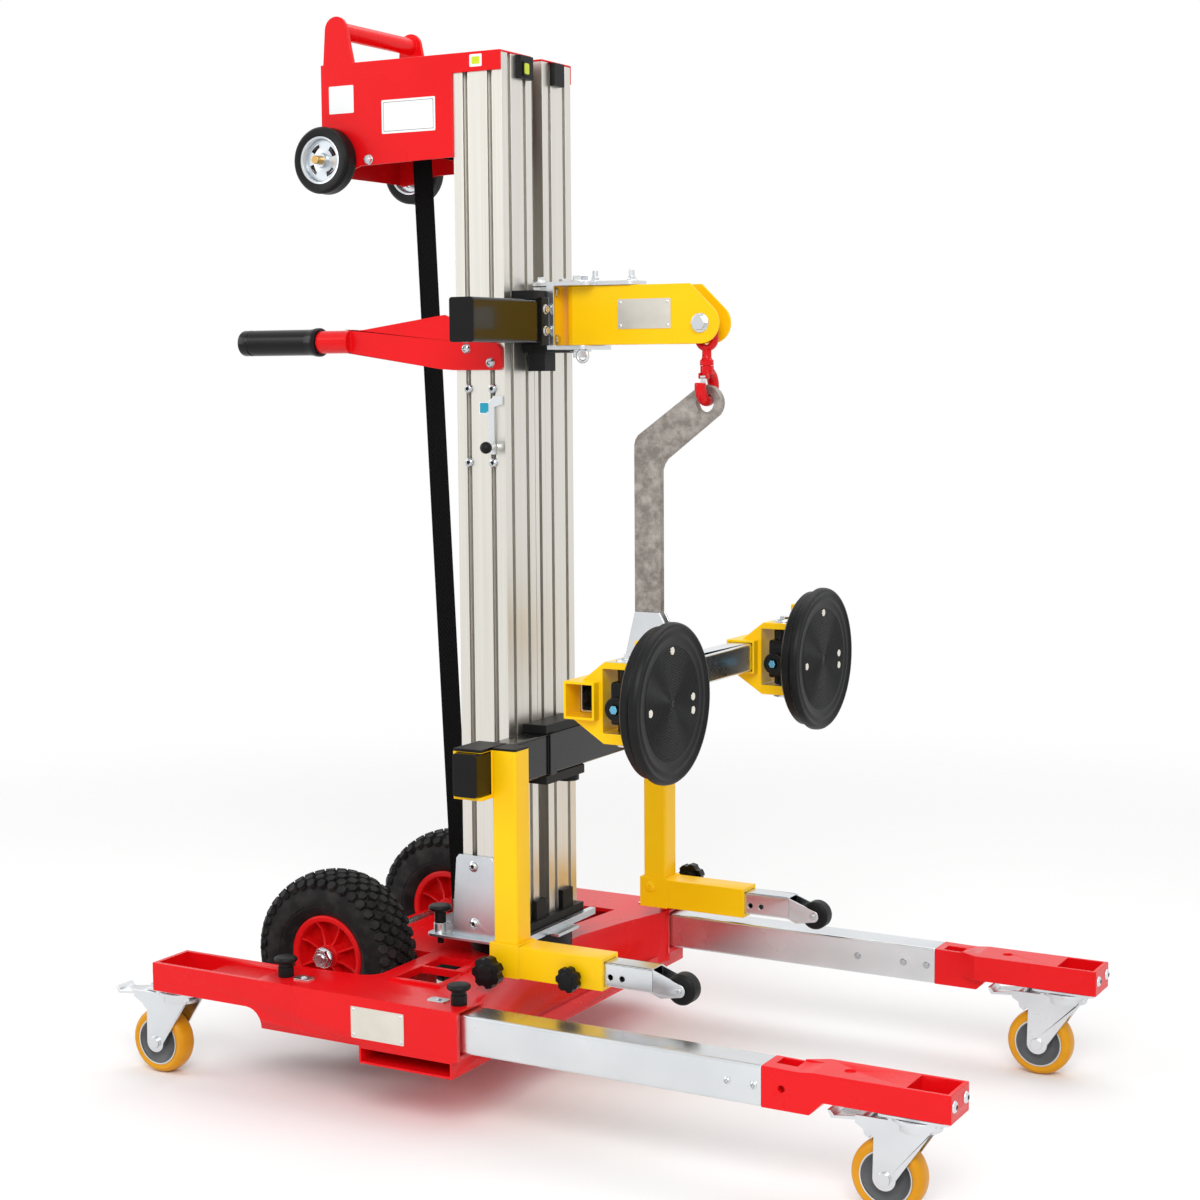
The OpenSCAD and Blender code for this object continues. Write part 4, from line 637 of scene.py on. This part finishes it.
def pickLegEnd(centre):      # the caster's plate and the dome bolts are zinc, their sockets black as painted shade
    if centre.x > tipX + 0.05:
        nearest = min(math.hypot(centre.y - y, centre.z - tipZ) for y in tipBolts)
        # faces inside a dome bolt's socket are black: painted shade
        inner = nearest < chassisSize["socketShadeRadius"] and centre.x < tipX + chassisSize["socketShadeFloor"]
        return 2 if inner else 1
    return 1 if centre.z < chassisSize["plateTop"] and centre.x > tipX - chassisSize["plateReach"] else 0


def pickPlunger(centre):     # a zinc pin below a black knob
    return 1 if centre.z < chassisSize["knobFoot"] else 0


dress("chassis_frame", ["red"], edge=0)     # its edges stay sharp, as a bevel renders black there
dress("chassis_fittings", ["zinc", "nylon"], pickFitting, edge=0.5)
for side, outward in outwardOf.items():
    low, high = boxOf("leg_end_" + side)
    tipX = high.x - chassisSize["tipInset"]
    tipZ = high.z - chassisSize["tipDrop"]
    outer = low.y if side == "near" else high.y
    tipBolts = [outer - outward * inset for inset in chassisSize["tipBolts"]]
    dress("leg_tube_" + side, ["zinc"], edge=1.2)
    dress("leg_end_" + side, ["red", "zinc", "nylon"], pickLegEnd, edge=0.9)
    for end in ("front", "rear"):
        dress("plunger_%s_%s" % (end, side), ["nylon", "zinc"], pickPlunger, edge=0.5)
dress("index_plunger", ["nylon"], edge=0.5)
print("chassis dressed")


# Mast

mastSize = {"blockDepth": 0.5, "axleReach": 100.0, "knob": 13.4, "handlePlate": 6.05, "plateReach": 50.0}
columnLow, columnHigh = boxOf("column_near")


def pickMastFitting(centre):     # black blocks before the columns, zinc bolts, brassy axle ends
    if centre.x > columnHigh.x - mastSize["blockDepth"]:
        return 0
    return 2 if centre.x < columnLow.x - mastSize["axleReach"] else 1


def pickLatch(centre):           # the ball knob is black
    return 1 if centre.y < boxOf("carriage_latch")[1].y - mastSize["knob"] else 0


def pickHandle(centre):          # zinc screws stand out of the plate over the column
    outside = centre.y < columnLow.y - mastSize["handlePlate"]
    return 1 if outside and centre.x > columnLow.x - mastSize["plateReach"] else 0


dress("mast_foot", ["plateZinc"], edge=0.7)
for side in outwardOf:
    dress("column_" + side, ["anodised"], edge=0.5)
dress("mast_fittings", ["nylon", "boltZinc", "brass"], pickMastFitting, edge=0.7)
dress("head_housing", ["red"], edge=1.0)
dress("belt_drum", ["blackPaint"], edge=0.5)
dress("lifting_belt", ["webbing"], edge=0.8)
dress("side_handle", ["red", "boltZinc"], pickHandle, edge=1.2)
dress("carriage_latch", ["zinc", "nylon"], pickLatch, edge=0.5)

gripSize = {"collar": 2.0, "hole": 8.0, "fillet": 4.0, "grooveAt": 16.0, "grooveWidth": 5.2,
            "grooveDepth": 0.9}


def makeGrip():
    low, high = boxOf("handle_grip")
    length = high.x - low.x
    radius = (high.z - low.z) / 2 - gripSize["collar"]
    hole, fillet, at = gripSize["hole"], gripSize["fillet"], gripSize["grooveAt"]
    deep, past = radius - gripSize["grooveDepth"], at + gripSize["grooveWidth"]
    profile = [(6, 6), (hole, 5), (hole, 0.6), (hole + 2, 0), (radius - 5, 0)]
    profile += arc(radius - fillet, fillet, fillet, -80, -5, 4)
    profile += [(radius, at), (deep, at + 1.2), (deep, past - 1.2), (radius, past), (radius, length - 22),
                (radius + 0.5, length - 15), (radius + 1.7, length - 10), (radius + 2, length - 7),
                (radius + 2, length - 3), (radius + 1, length - 1), (radius - 1, length - 0.3),
                (radius - 2.4, length - 0.3), (radius - 2.4, 6)]
    shape = bmesh.new()
    turn(shape, profile, facing(Vector((low.x, (low.y + high.y) / 2, (low.z + high.z) / 2)), (1, 0, 0)), 56)
    closeShape(shape, "handleGrip", ["gloss"], "handle_grip", ["handle_grip"])


makeGrip()

loadingSize = {"bead": 32.0, "axle": 6.2, "dishDepth": 10.0, "discHalf": 1.2, "windows": 4, "slotTurn": 40,
               "slotInner": 17.0, "slotOuter": 24.0}


def makeLoadingWheel(side, outward):
    # a rubber tread on a zinc rim, whose discs have curved slots between four webs
    node = "loading_wheel_" + side
    low, high = boxOf(node)
    radius = (high.z - low.z) / 2
    half = (high.y - low.y) / 2
    place = facing(spotOf("loading_roll_" + side), (0, outward, 0))
    shape = bmesh.new()
    bead, axle, thick = loadingSize["bead"], loadingSize["axle"], loadingSize["discHalf"]
    tread = [(bead, half - 1.5), (bead + 3, half), (radius - 4, half), (radius - 1.2, half - 2.5),
             (radius, half - 5), (radius - 0.8, 2.2)]
    turn(shape, bothSides(tread), place, 64, 0)
    rimRing = bothSides([(bead - 3, half - 3.5), (bead - 1, half - 1.2), (bead + 1.5, half - 0.6)])
    turn(shape, rimRing + [(bead - 4.5, 0)], place, 56, 1)
    inner, outer = loadingSize["slotInner"], loadingSize["slotOuter"]
    pitch = 360 / loadingSize["windows"]
    for face in (1, -1):
        disc = face * (half - loadingSize["dishDepth"])
        for k in range(loadingSize["windows"]):
            start = k * pitch + 16
            back = start - pitch + loadingSize["slotTurn"]
            web = arc(0, 0, inner - 1, back, start, 4) + arc(0, 0, outer + 1, start, back, 4)
            press(shape, web, place, disc - 1, disc + 1, 1)
        end = face * (half - 1)
        turn(shape, [(axle, disc - thick), (inner, disc - thick), (inner, disc + thick), (11, disc + 1.6),
                     (10, end), (axle, end)], place, 36, 1)
        turn(shape, [(outer, disc - thick), (bead - 2, disc - thick), (bead - 2, disc + thick),
                     (outer, disc + thick)], place, 56, 1)
    closeShape(shape, camel(node), ["wheelRubber", "plateZinc"], node, [node])


for side, outward in outwardOf.items():
    makeLoadingWheel(side, outward)
print("mast dressed")


# Carriage, load arm and hook

carriageSize = {"cap": 4.0, "pinRadius": 7.3, "pinHalf": 15.9, "armSide": 20.0, "bracketPlate": 7.05,
                "bracketPlateHalf": 40.5, "strip": 4.05, "stripStart": 44.5}


def pickBar(centre):         # plastic caps close the ends of a crossbar
    return 1 if abs(centre.y) > barEnd - carriageSize["cap"] - 0.05 else 0


def pickArm(centre):         # the swivel's pin and its bolts are zinc
    pin = spotOf("eye_swing")
    onPin = math.hypot(centre.x - pin.x, centre.z - pin.z) < carriageSize["pinRadius"]
    outside = abs(centre.y) > carriageSize["armSide"] + 0.05
    return 1 if outside or onPin and abs(centre.y) < carriageSize["pinHalf"] else 0


def pickBracket(centre):     # a yellow plate and black strips against the crossbar, the rest is zinc
    depth = centre.x - boxOf("upper_crossbar")[1].x
    low, high = boxOf("load_arm")
    if depth < -0.1 or not low.z - 1.1 < centre.z < high.z + 0.2:
        return 0
    if abs(centre.y) > carriageSize["stripStart"]:
        return 2 if depth < carriageSize["strip"] else 0
    onPlate = abs(centre.y) < carriageSize["bracketPlateHalf"]
    return 1 if onPlate and depth < carriageSize["bracketPlate"] else 0


dress("carriage_profile", ["anodised"], edge=0.4)
dress("guide_saddles", ["nylon"], edge=0.8)
for node in ("upper_crossbar", "lower_crossbar"):
    barEnd = boxOf(node)[1].y
    capCuts = [((0, k * (barEnd - carriageSize["cap"]), 0), (0, 1, 0)) for k in (-1, 1)]
    dress(node, ["blackPaint", "gloss"], pickBar, 1.0, capCuts)
dress("arm_bracket", ["zinc", "yellow", "nylon"], pickBracket, edge=0.6)
dress("load_arm", ["yellow", "zinc"], pickArm, edge=0.7)


eyeSize = {"wire": 4.9, "widening": 1.5, "straightHalf": 11.0, "collar": 9.5, "stem": 6.5, "bore": 5.3,
           "boreDepth": 7.0}


def makeEye():
    # an oval forged eye that hangs on the arm's pin, above a round swivel collar
    low, high = boxOf("swivel_eye")
    middle = (low + high) / 2
    wire, half, widening = eyeSize["wire"], eyeSize["straightHalf"], eyeSize["widening"]
    reach = (high.x - low.x) / 2 - wire
    top = high.z - wire - reach
    path = [(x, z + half) for x, z in arc(0, 0, reach, 0, 180, 14)]
    path += [(x, z - half) for x, z in arc(0, 0, reach, 180, 360, 14)]
    shape = bmesh.new()
    count, sides = len(path), 16
    turns = [2 * math.pi * n / sides for n in range(sides)]
    across = Vector((0, 1, 0))
    rings = []
    for k, (x, z) in enumerate(path):
        ahead, behind = path[(k + 1) % count], path[k - 1]
        out = Vector((ahead[0] - behind[0], 0, ahead[1] - behind[1])).normalized().cross(across)
        centre = Vector((middle.x + x, middle.y, top - half + z))
        rings.append([shape.verts.new(centre + wire * (math.cos(a) * out + widening * math.sin(a) * across))
                      for a in turns])
    for k in range(count):
        first, second = rings[k], rings[(k + 1) % count]
        for n in range(sides):
            shape.faces.new([first[n], first[(n + 1) % sides], second[(n + 1) % sides], second[n]])
    foot = top - 2 * half - reach + wire
    collar, stem, bore = eyeSize["collar"], eyeSize["stem"], eyeSize["bore"]
    deep = low.z + eyeSize["boreDepth"]
    turn(shape, [(0, deep), (bore, deep), (bore, low.z), (collar, low.z), (collar, low.z + 7),
                 (collar - 2, low.z + 9), (stem, low.z + 11), (stem, foot - 7), (9, foot - 2), (0, foot - 2)],
         facing((middle.x, middle.y, 0), (0, 0, 1)), 32)
    closeShape(shape, "swivelEye", ["hookPaint"], "swivel_eye", ["swivel_eye"])


makeEye()
dress("lift_hook", ["hookPaint"], edge=0.6)
dress("hook_latch", ["zinc"], edge=0.3)
dress("hanger_bar", ["steel"], edge=0.8)
dress("pad_beam", ["zinc"], edge=0.9)
print("carriage dressed")


# Suction pads

padSize = {"backSpace": 28.0, "faceDepth": 3.0, "ringStart": 8.0, "ringStep": 3.4, "rings": 20,
           "ringHeight": 1.0, "dotRadius": 5.6,
           "dots": [(-0.015, 0.655), (-0.585, -0.04), (0.54, 0.02), (0.54, -0.15)]}


def makePadDisc(side, spot):
    # a ribbed face inside a soft lip, with white dots of felt, profile radii as shares of the disc's
    node = "suction_pad_" + side
    low, high = boxOf(node)
    radius = (high.z - low.z) / 2
    front, back = high.x - spot.x, padSize["backSpace"]
    flat = front - padSize["faceDepth"]
    place = facing(spot, (1, 0, 0))
    rings = [(0, flat), (2.5, flat + 0.8), (5, flat + 0.8), (6, flat)]
    for k in range(padSize["rings"]):
        r, raised = padSize["ringStart"] + k * padSize["ringStep"], flat + padSize["ringHeight"]
        rings += [(r, flat), (r + 0.8, raised), (r + 1.6, raised), (r + 2.2, flat)]
    lip = [(0.8, flat), (0.815, flat + 0.9), (0.86, flat + 0.9), (0.875, flat), (0.9, flat),
           (0.925, front - 1.5), (0.95, front - 0.05), (0.975, front - 0.6), (0.993, front - 3),
           (1, front - 6), (1, front - 10), (0.97, front - 13), (0.92, front - 15), (0.94, front - 18),
           (0.94, back + 12), (0.91, back + 9), (0.8, back + 7), (0.62, back), (0, back)]
    shape = bmesh.new()
    turn(shape, rings + [(radius * share, height) for share, height in lip], place, 96, 0, closed=False)
    wide = padSize["dotRadius"]
    for x, y in padSize["dots"]:
        dot = place @ Matrix.Translation((x * radius, y * radius, 0))
        turn(shape, [(0, flat - 1), (wide, flat - 1), (wide - 0.6, flat + 1.1), (0, flat + 1.3)], dot, 24, 1)
    closeShape(shape, "padDisc" + side.capitalize(), ["padRubber", "felt"], node, [node])


blockSize = {"body": (48, 56, 5), "bodyDepth": (-14, 20), "neck": (40, 66, 4), "pivotHalf": 41.0,
             "pivot": 15.0, "pivotBore": 6.1, "bossSpot": (-4, -23, -8), "boss": 16.0, "bossHeight": 9.0,
             "screw": 6.5, "plate": (56, 25), "plateStarts": (-82, 57)}


def makePadBlock(side, spot):
    # the black block behind the disc, with its pivot, a boss with a blue screw and a backing plate
    place, back = facing(spot, (1, 0, 0)), padSize["backSpace"]
    block = bmesh.new()
    lowered = place @ Matrix.Translation((0, -2, 0))
    press(block, roundedOutline(*blockSize["body"]), lowered, *blockSize["bodyDepth"])
    end, wide, bore = blockSize["pivotHalf"], blockSize["pivot"], blockSize["pivotBore"]
    pin = [(bore, -end), (wide - 1, -end), (wide, 1 - end), (wide, end - 1), (wide - 1, end), (bore, end)]
    turn(block, pin, facing(spot, (0, 0, 1), (1, 0, 0)), 40)
    press(block, roundedOutline(*blockSize["neck"]), place, 12, back + 1, 0)
    wide, tall, screw = blockSize["boss"], blockSize["bossHeight"], blockSize["screw"]
    boss = facing(spot + Vector(blockSize["bossSpot"]), (0, -1, 0))
    turn(block, [(0, 0), (wide, 0), (wide, tall - 1.5), (wide - 1.5, tall), (0, tall)], boss, 36, 0)
    turn(block, [(0, tall), (screw, tall), (screw, tall + 3.5), (screw - 1.1, tall + 4.8), (0, tall + 4.8)],
         boss, 6, 1)
    width, height = blockSize["plate"]
    for start in blockSize["plateStarts"]:
        seat = place @ Matrix.Translation((0, start + height / 2, 0))
        press(block, roundedOutline(width, height, 2), seat, back - 5, back + 3, 2)
    name = "padBlock" + side.capitalize()
    closeShape(block, name, ["gloss", "blueZinc", "yellow"], "suction_pad_" + side, edge=0.6)


headSize = {"top": 51.35, "bottom": 56.35, "pin": 6.3}


def pickHead(centre):        # bolt heads, washers and the pivot pin are zinc
    above = centre.z - pivot.z
    onPin = math.hypot(centre.x - pivot.x, centre.y - pivot.y) < headSize["pin"]
    return 1 if onPin or above > headSize["top"] or above < -headSize["bottom"] else 0


for side in outwardOf:
    pivot = spotOf("pad_tilt_" + side)
    makePadDisc(side, pivot)
    makePadBlock(side, pivot)
    dress("pad_head_" + side, ["yellow", "zinc"], pickHead, edge=0.9)
print("pads made")


# Carrying forks

forkSize = {"sleeve": 23.3, "tube": 22.0, "cap": 4.0}


def pickPost(centre):        # the cap on the post is black
    return 1 if centre.z > postTop - forkSize["cap"] - 0.05 else 0


def pickFork(centre):        # star knobs are black plastic
    depth = (centre.y - forkMiddle.y) * outward
    inFront = centre.x > forkMiddle.x + forkSize["sleeve"]
    return 1 if depth > forkSize["sleeve"] + 0.05 or inFront and depth > forkSize["tube"] + 0.05 else 0


for side, outward in outwardOf.items():
    low, high = boxOf("post_" + side)
    postTop = high.z
    capCut = ((0, 0, postTop - forkSize["cap"]), (0, 0, 1))
    dress("post_" + side, ["yellow", "nylon"], pickPost, 0.9, [capCut])
    low, high = boxOf("fork_" + side)
    middle = low.y + forkSize["sleeve"] if outward > 0 else high.y - forkSize["sleeve"]
    forkMiddle = Vector((low.x + forkSize["sleeve"], middle, 0))
    dress("fork_" + side, ["yellow", "gloss"], pickFork, edge=0.7)
    dress("extension_" + side, ["zinc"], edge=0.7)
    dress("roller_" + side, ["wheelRubber"], edge=0.8)
print("forks dressed")


# Bare labels and plates: middle along X, middle height, width and height of each

signSize = {"headLabel": (-370.5, 1407.5, 43, 39), "headPlate": (-255.0, 1378.5, 91, 47),
            "headMark": (-141.5, 1446.0, 20, 17), "armPlate": (79.5, 1096.0, 83, 41),
            "beamPlate": (-165.5, 137.0, 87, 44), "columnMark": (-136.0, 967.0, 17, 17),
            "rivetRadius": 2.4, "rivetInset": 4.5}


def stick(name, node, sheetY, finishes, layers, rivets=False):
    # thin sheets on a face that looks to the near side, each layer (inset, height, number of its finish)
    x, z, width, height = signSize[name]
    place = facing((x, sheetY, z), (0, -1, 0))
    shape = bmesh.new()
    for inset, top, kind in layers:
        press(shape, roundedOutline(width - 2 * inset, height - 2 * inset, 1.6), place, -0.2, top, kind)
    if rivets:
        inset = signSize["rivetInset"]
        corners = [place @ Vector((k * (width / 2 - inset), m * (height / 2 - inset), layers[0][1]))
                   for k in (-1, 1) for m in (-1, 1)]
        settings = {"Radius": signSize["rivetRadius"], "Tilt": tuple(place.to_euler()),
                    "Finish": finish["zinc"]}
        addMesh(shape, grow(trees["rivet"], settings, corners), Matrix(), len(finishes) - 1)
    closeShape(shape, name, finishes, node)


# Small parts: painted shade in the sockets of button heads, clamp screws, nuts, plates, a vial and a button

# size of the black hexagons painted as shade in the button heads' sockets
socketShadeSize = {"radius": 2.6, "floor": 2.0, "height": 0.7}
columnScrews = {"Lower": 890.0, "Upper": 994.0, "grooveReach": 20.0}
footScrews = {"x": -161.0, "seat": 4.5, "rises": (24.0, 108.0)}
legScrews = {"x": (279, 352, 388), "z": 140.5, "across": 9.0, "height": 3.4}
rollerNut = {"inset": 2.6, "across": 9.0, "height": 3.0}
headBolt = {"x": -324.0, "z": 1320.5, "across": 12.0, "height": 6.0}
deckBolts = {"x": (-315.0, -90.0), "y": (-301.5, 301.5), "drop": 2.5, "across": 9.0, "height": 2.4,
             "plate": (29, 20, 6)}
vialSize = {"inset": 4.0, "y": -43.0, "z": 1437.0, "case": (17, 21, 3), "window": (12, 15, 2.5)}
buttonSize = {"spot": (-48, 230.7, 220), "radius": 8.0}


def addSocketShades(name, node, spots, axis):
    # painted shade: a black hexagon at the bottom of the socket in each button head, seen from the head's
    # seat
    shape = bmesh.new()
    low = socketShadeSize["floor"]
    for spot in spots:
        outline = ringOutline(socketShadeSize["radius"], 6)
        press(shape, outline, facing(spot, axis), low, low + socketShadeSize["height"])
    closeShape(shape, name, ["nylon"], node)


def addScrews():
    middle, reach = (columnLow.x + columnHigh.x) / 2, columnScrews["grooveReach"]
    # black hexagons as painted shade in the sockets of the groove screws and the foot screws
    for name in ("Lower", "Upper"):
        spots = [(middle + n * reach, columnLow.y, columnScrews[name]) for n in (-1, 1)]
        addSocketShades("grooveSocketShade" + name, "mast_fittings", spots, (0, -1, 0))
    foot = boxOf("mast_foot")[0].z
    for outward, name in ((-1, "Near"), (1, "Far")):
        seat = outward * (footScrews["seat"] - columnLow.y)
        spots = [(footScrews["x"], seat, foot + rise) for rise in footScrews["rises"]]
        addSocketShades("footSocketShade" + name, "mast_foot", spots, (0, outward, 0))
    innerFace = boxOf("leg_tube_far")[0].y
    spots = [(x, innerFace, legScrews["z"]) for x in legScrews["x"]]
    addNuts("legScrews", "leg_tube_far", spots, (0, -1, 0), legScrews, "boltZinc")


def addRollerNuts(side):
    node = "extension_" + side
    low, high = boxOf(node)
    reach = (high.y - low.y) / 2 - rollerNut["inset"]
    for outward, end in ((-1, "Right"), (1, "Left")):
        spot = spotOf("roller_roll_" + side) + Vector((0, outward * reach, 0))
        name = "rollerNut" + side.capitalize() + end
        addNuts(name, node, [spot], (0, outward, 0), rollerNut, "boltZinc")


def addDeckBolts():
    top = boxOf("chassis_frame")[1].z - deckBolts["drop"]
    spots = [(x, y, top) for x in deckBolts["x"] for y in deckBolts["y"]]
    addNuts("deckBolts", "chassis_fittings", spots, (0, 0, 1), deckBolts)
    plates = bmesh.new()
    for spot in spots:
        press(plates, roundedOutline(*deckBolts["plate"]), Matrix.Translation(spot), -1.6, 0.3)
    closeShape(plates, "deckPlates", ["zinc"], "chassis_fittings", edge=0.3)


def addVial():
    shape = bmesh.new()
    front = boxOf("mast_fittings")[1].x - vialSize["inset"]
    place = facing((front, vialSize["y"], vialSize["z"]), (1, 0, 0))
    press(shape, roundedOutline(*vialSize["case"]), place, -0.2, 1.6, 0)
    press(shape, roundedOutline(*vialSize["window"]), place, -0.2, 2.4, 1)
    closeShape(shape, "levelVial", ["nylon", "vial"], "mast_fittings", edge=0.3)


def addButton():
    shape = bmesh.new()
    wide = buttonSize["radius"]
    profile = [(0, -0.2), (wide, -0.2), (wide, 1), (wide - 1.5, 3), (3.2, 3.8), (3, 2), (0, 2)]
    turn(shape, profile, facing(buttonSize["spot"], (0, -1, 0)), 24)
    closeShape(shape, "farForkButton", ["yellow"], "fork_far")


addScrews()
for side in outwardOf:
    addRollerNuts(side)
headSide = boxOf("head_housing")[0].y
stick("headLabel", "head_housing", headSide, ["label"], [(0, 0.3, 0)])
stick("headPlate", "head_housing", headSide, ["label", "hubGrey"],
      [(0, 0.3, 0), (3, 0.34, 1), (3.7, 0.38, 0)])
stick("headMark", "head_housing", headSide, ["label", "vial"], [(0, 0.3, 0), (3.4, 0.36, 1)])
stick("columnMark", "column_near", columnLow.y, ["label", "blueVinyl"], [(0, 0.3, 0), (1.4, 0.36, 1)])
stick("armPlate", "load_arm", -carriageSize["armSide"], ["plate", "zinc"], [(0, 0.9, 0)], True)
stick("beamPlate", "chassis_frame", boxOf("chassis_frame")[0].y, ["plate", "zinc"], [(0, 0.9, 0)], True)
addNuts("headBolt", "head_housing", [(headBolt["x"], headSide, headBolt["z"])], (0, -1, 0), headBolt)
addDeckBolts()
addVial()
addButton()
print("labels and small parts made")


# Floor, light and camera

stageSize = {"floor": 9.0, "fadeStart": 1.3, "fadeEnd": 3.2, "worldLight": 0.62}
lamps = {       # each lamp's place, aim, size and power
    "keyLight": ((1.8, -3.2, 3.0), (0, 0, 0.6), (2.4, 2.0), 95.0),
    "fillLight": ((-3.2, -1.6, 2.0), (0, 0, 0.7), (2.2, 2.2), 38.0),
    "topLight": ((0.4, 1.2, 4.0), (0, 0, 0.6), (3.0, 3.0), 55.0),
}


def paleFloor():
    # matt pale studio floor that fades into the background away from the object
    material = bpy.data.materials.new("paleFloor")
    tree = freshTree(material)
    spot = addNode(tree, "ShaderNodeTexCoord").outputs["Object"]
    away = addNode(tree, "ShaderNodeVectorMath", {0: spot}, {"operation": "LENGTH"}).outputs["Value"]
    fade = addNode(tree, "ShaderNodeMapRange", {0: away, 1: stageSize["fadeStart"], 2: stageSize["fadeEnd"]},
                   {"interpolation_type": "SMOOTHSTEP"})
    matt = addNode(tree, "ShaderNodeBsdfDiffuse", {"Color": linear("#F4F4F4")})
    clear = addNode(tree, "ShaderNodeBsdfTransparent")
    mixed = {0: fade.outputs[0], 1: matt.outputs[0], 2: clear.outputs[0]}
    both = addNode(tree, "ShaderNodeMixShader", mixed)
    addNode(tree, "ShaderNodeOutputMaterial", {"Surface": both.outputs[0]})
    return material


def makeStage():
    shape = bmesh.new()
    bmesh.ops.create_grid(shape, x_segments=1, y_segments=1, size=stageSize["floor"] / 2)
    mesh = bpy.data.meshes.new("floor")
    shape.to_mesh(mesh)
    shape.free()
    mesh.materials.append(paleFloor())
    floor = newObject("floor", mesh)
    world = bpy.data.worlds.new("studio")
    bpy.context.scene.world = world
    tree = freshTree(world)
    path = addNode(tree, "ShaderNodeLightPath").outputs
    larger = {"operation": "MAXIMUM"}       # white to the camera and in mirrors, dimmer as a light
    direct = addNode(tree, "ShaderNodeMath", {0: path["Is Camera Ray"], 1: path["Is Glossy Ray"]}, larger)
    seen = addNode(tree, "ShaderNodeMath", {0: direct.outputs[0], 1: path["Is Transmission Ray"]}, larger)
    levels = {0: seen.outputs[0], 3: stageSize["worldLight"], 4: 1.0}
    strength = addNode(tree, "ShaderNodeMapRange", levels).outputs[0]
    glow = addNode(tree, "ShaderNodeBackground", {"Color": (1, 1, 1, 1), "Strength": strength})
    addNode(tree, "ShaderNodeOutputWorld", {"Surface": glow.outputs[0]})


def makeLamp(name, spot, aim, size, power):
    lamp = bpy.data.lights.new(name, "AREA")
    lamp.shape = "RECTANGLE"
    lamp.size, lamp.size_y = size
    lamp.energy = power
    holder = newObject(name, lamp)
    holder.location = spot
    holder.rotation_euler = (Vector(aim) - Vector(spot)).to_track_quat("-Z", "Y").to_euler()


cameraFit = {"spot": (1.48127, -2.64534, 1.01526), "yaw": 0.511784, "pitch": 0.106007, "roll": -0.0067162,
             "lens": 64.095}


def makeCamera():
    yaw, pitch, roll = cameraFit["yaw"], cameraFit["pitch"], cameraFit["roll"]
    ahead = Vector((-math.sin(yaw) * math.cos(pitch), math.cos(yaw) * math.cos(pitch), -math.sin(pitch)))
    level = Vector((math.cos(yaw), math.sin(yaw), 0))
    upright = level.cross(ahead)
    right = math.cos(roll) * level + math.sin(roll) * upright
    up = -math.sin(roll) * level + math.cos(roll) * upright
    lens = bpy.data.cameras.new("camera")
    lens.sensor_width = 36.0
    lens.lens = cameraFit["lens"]
    camera = newObject("camera", lens)
    turned = Matrix((right, up, -ahead)).transposed().to_4x4()
    camera.matrix_world = Matrix.Translation(cameraFit["spot"]) @ turned
    bpy.context.scene.camera = camera


makeStage()
for name, settings in lamps.items():
    makeLamp(name, *settings)
makeCamera()
bpy.context.scene.view_settings.view_transform = "Standard"
print("stage set")
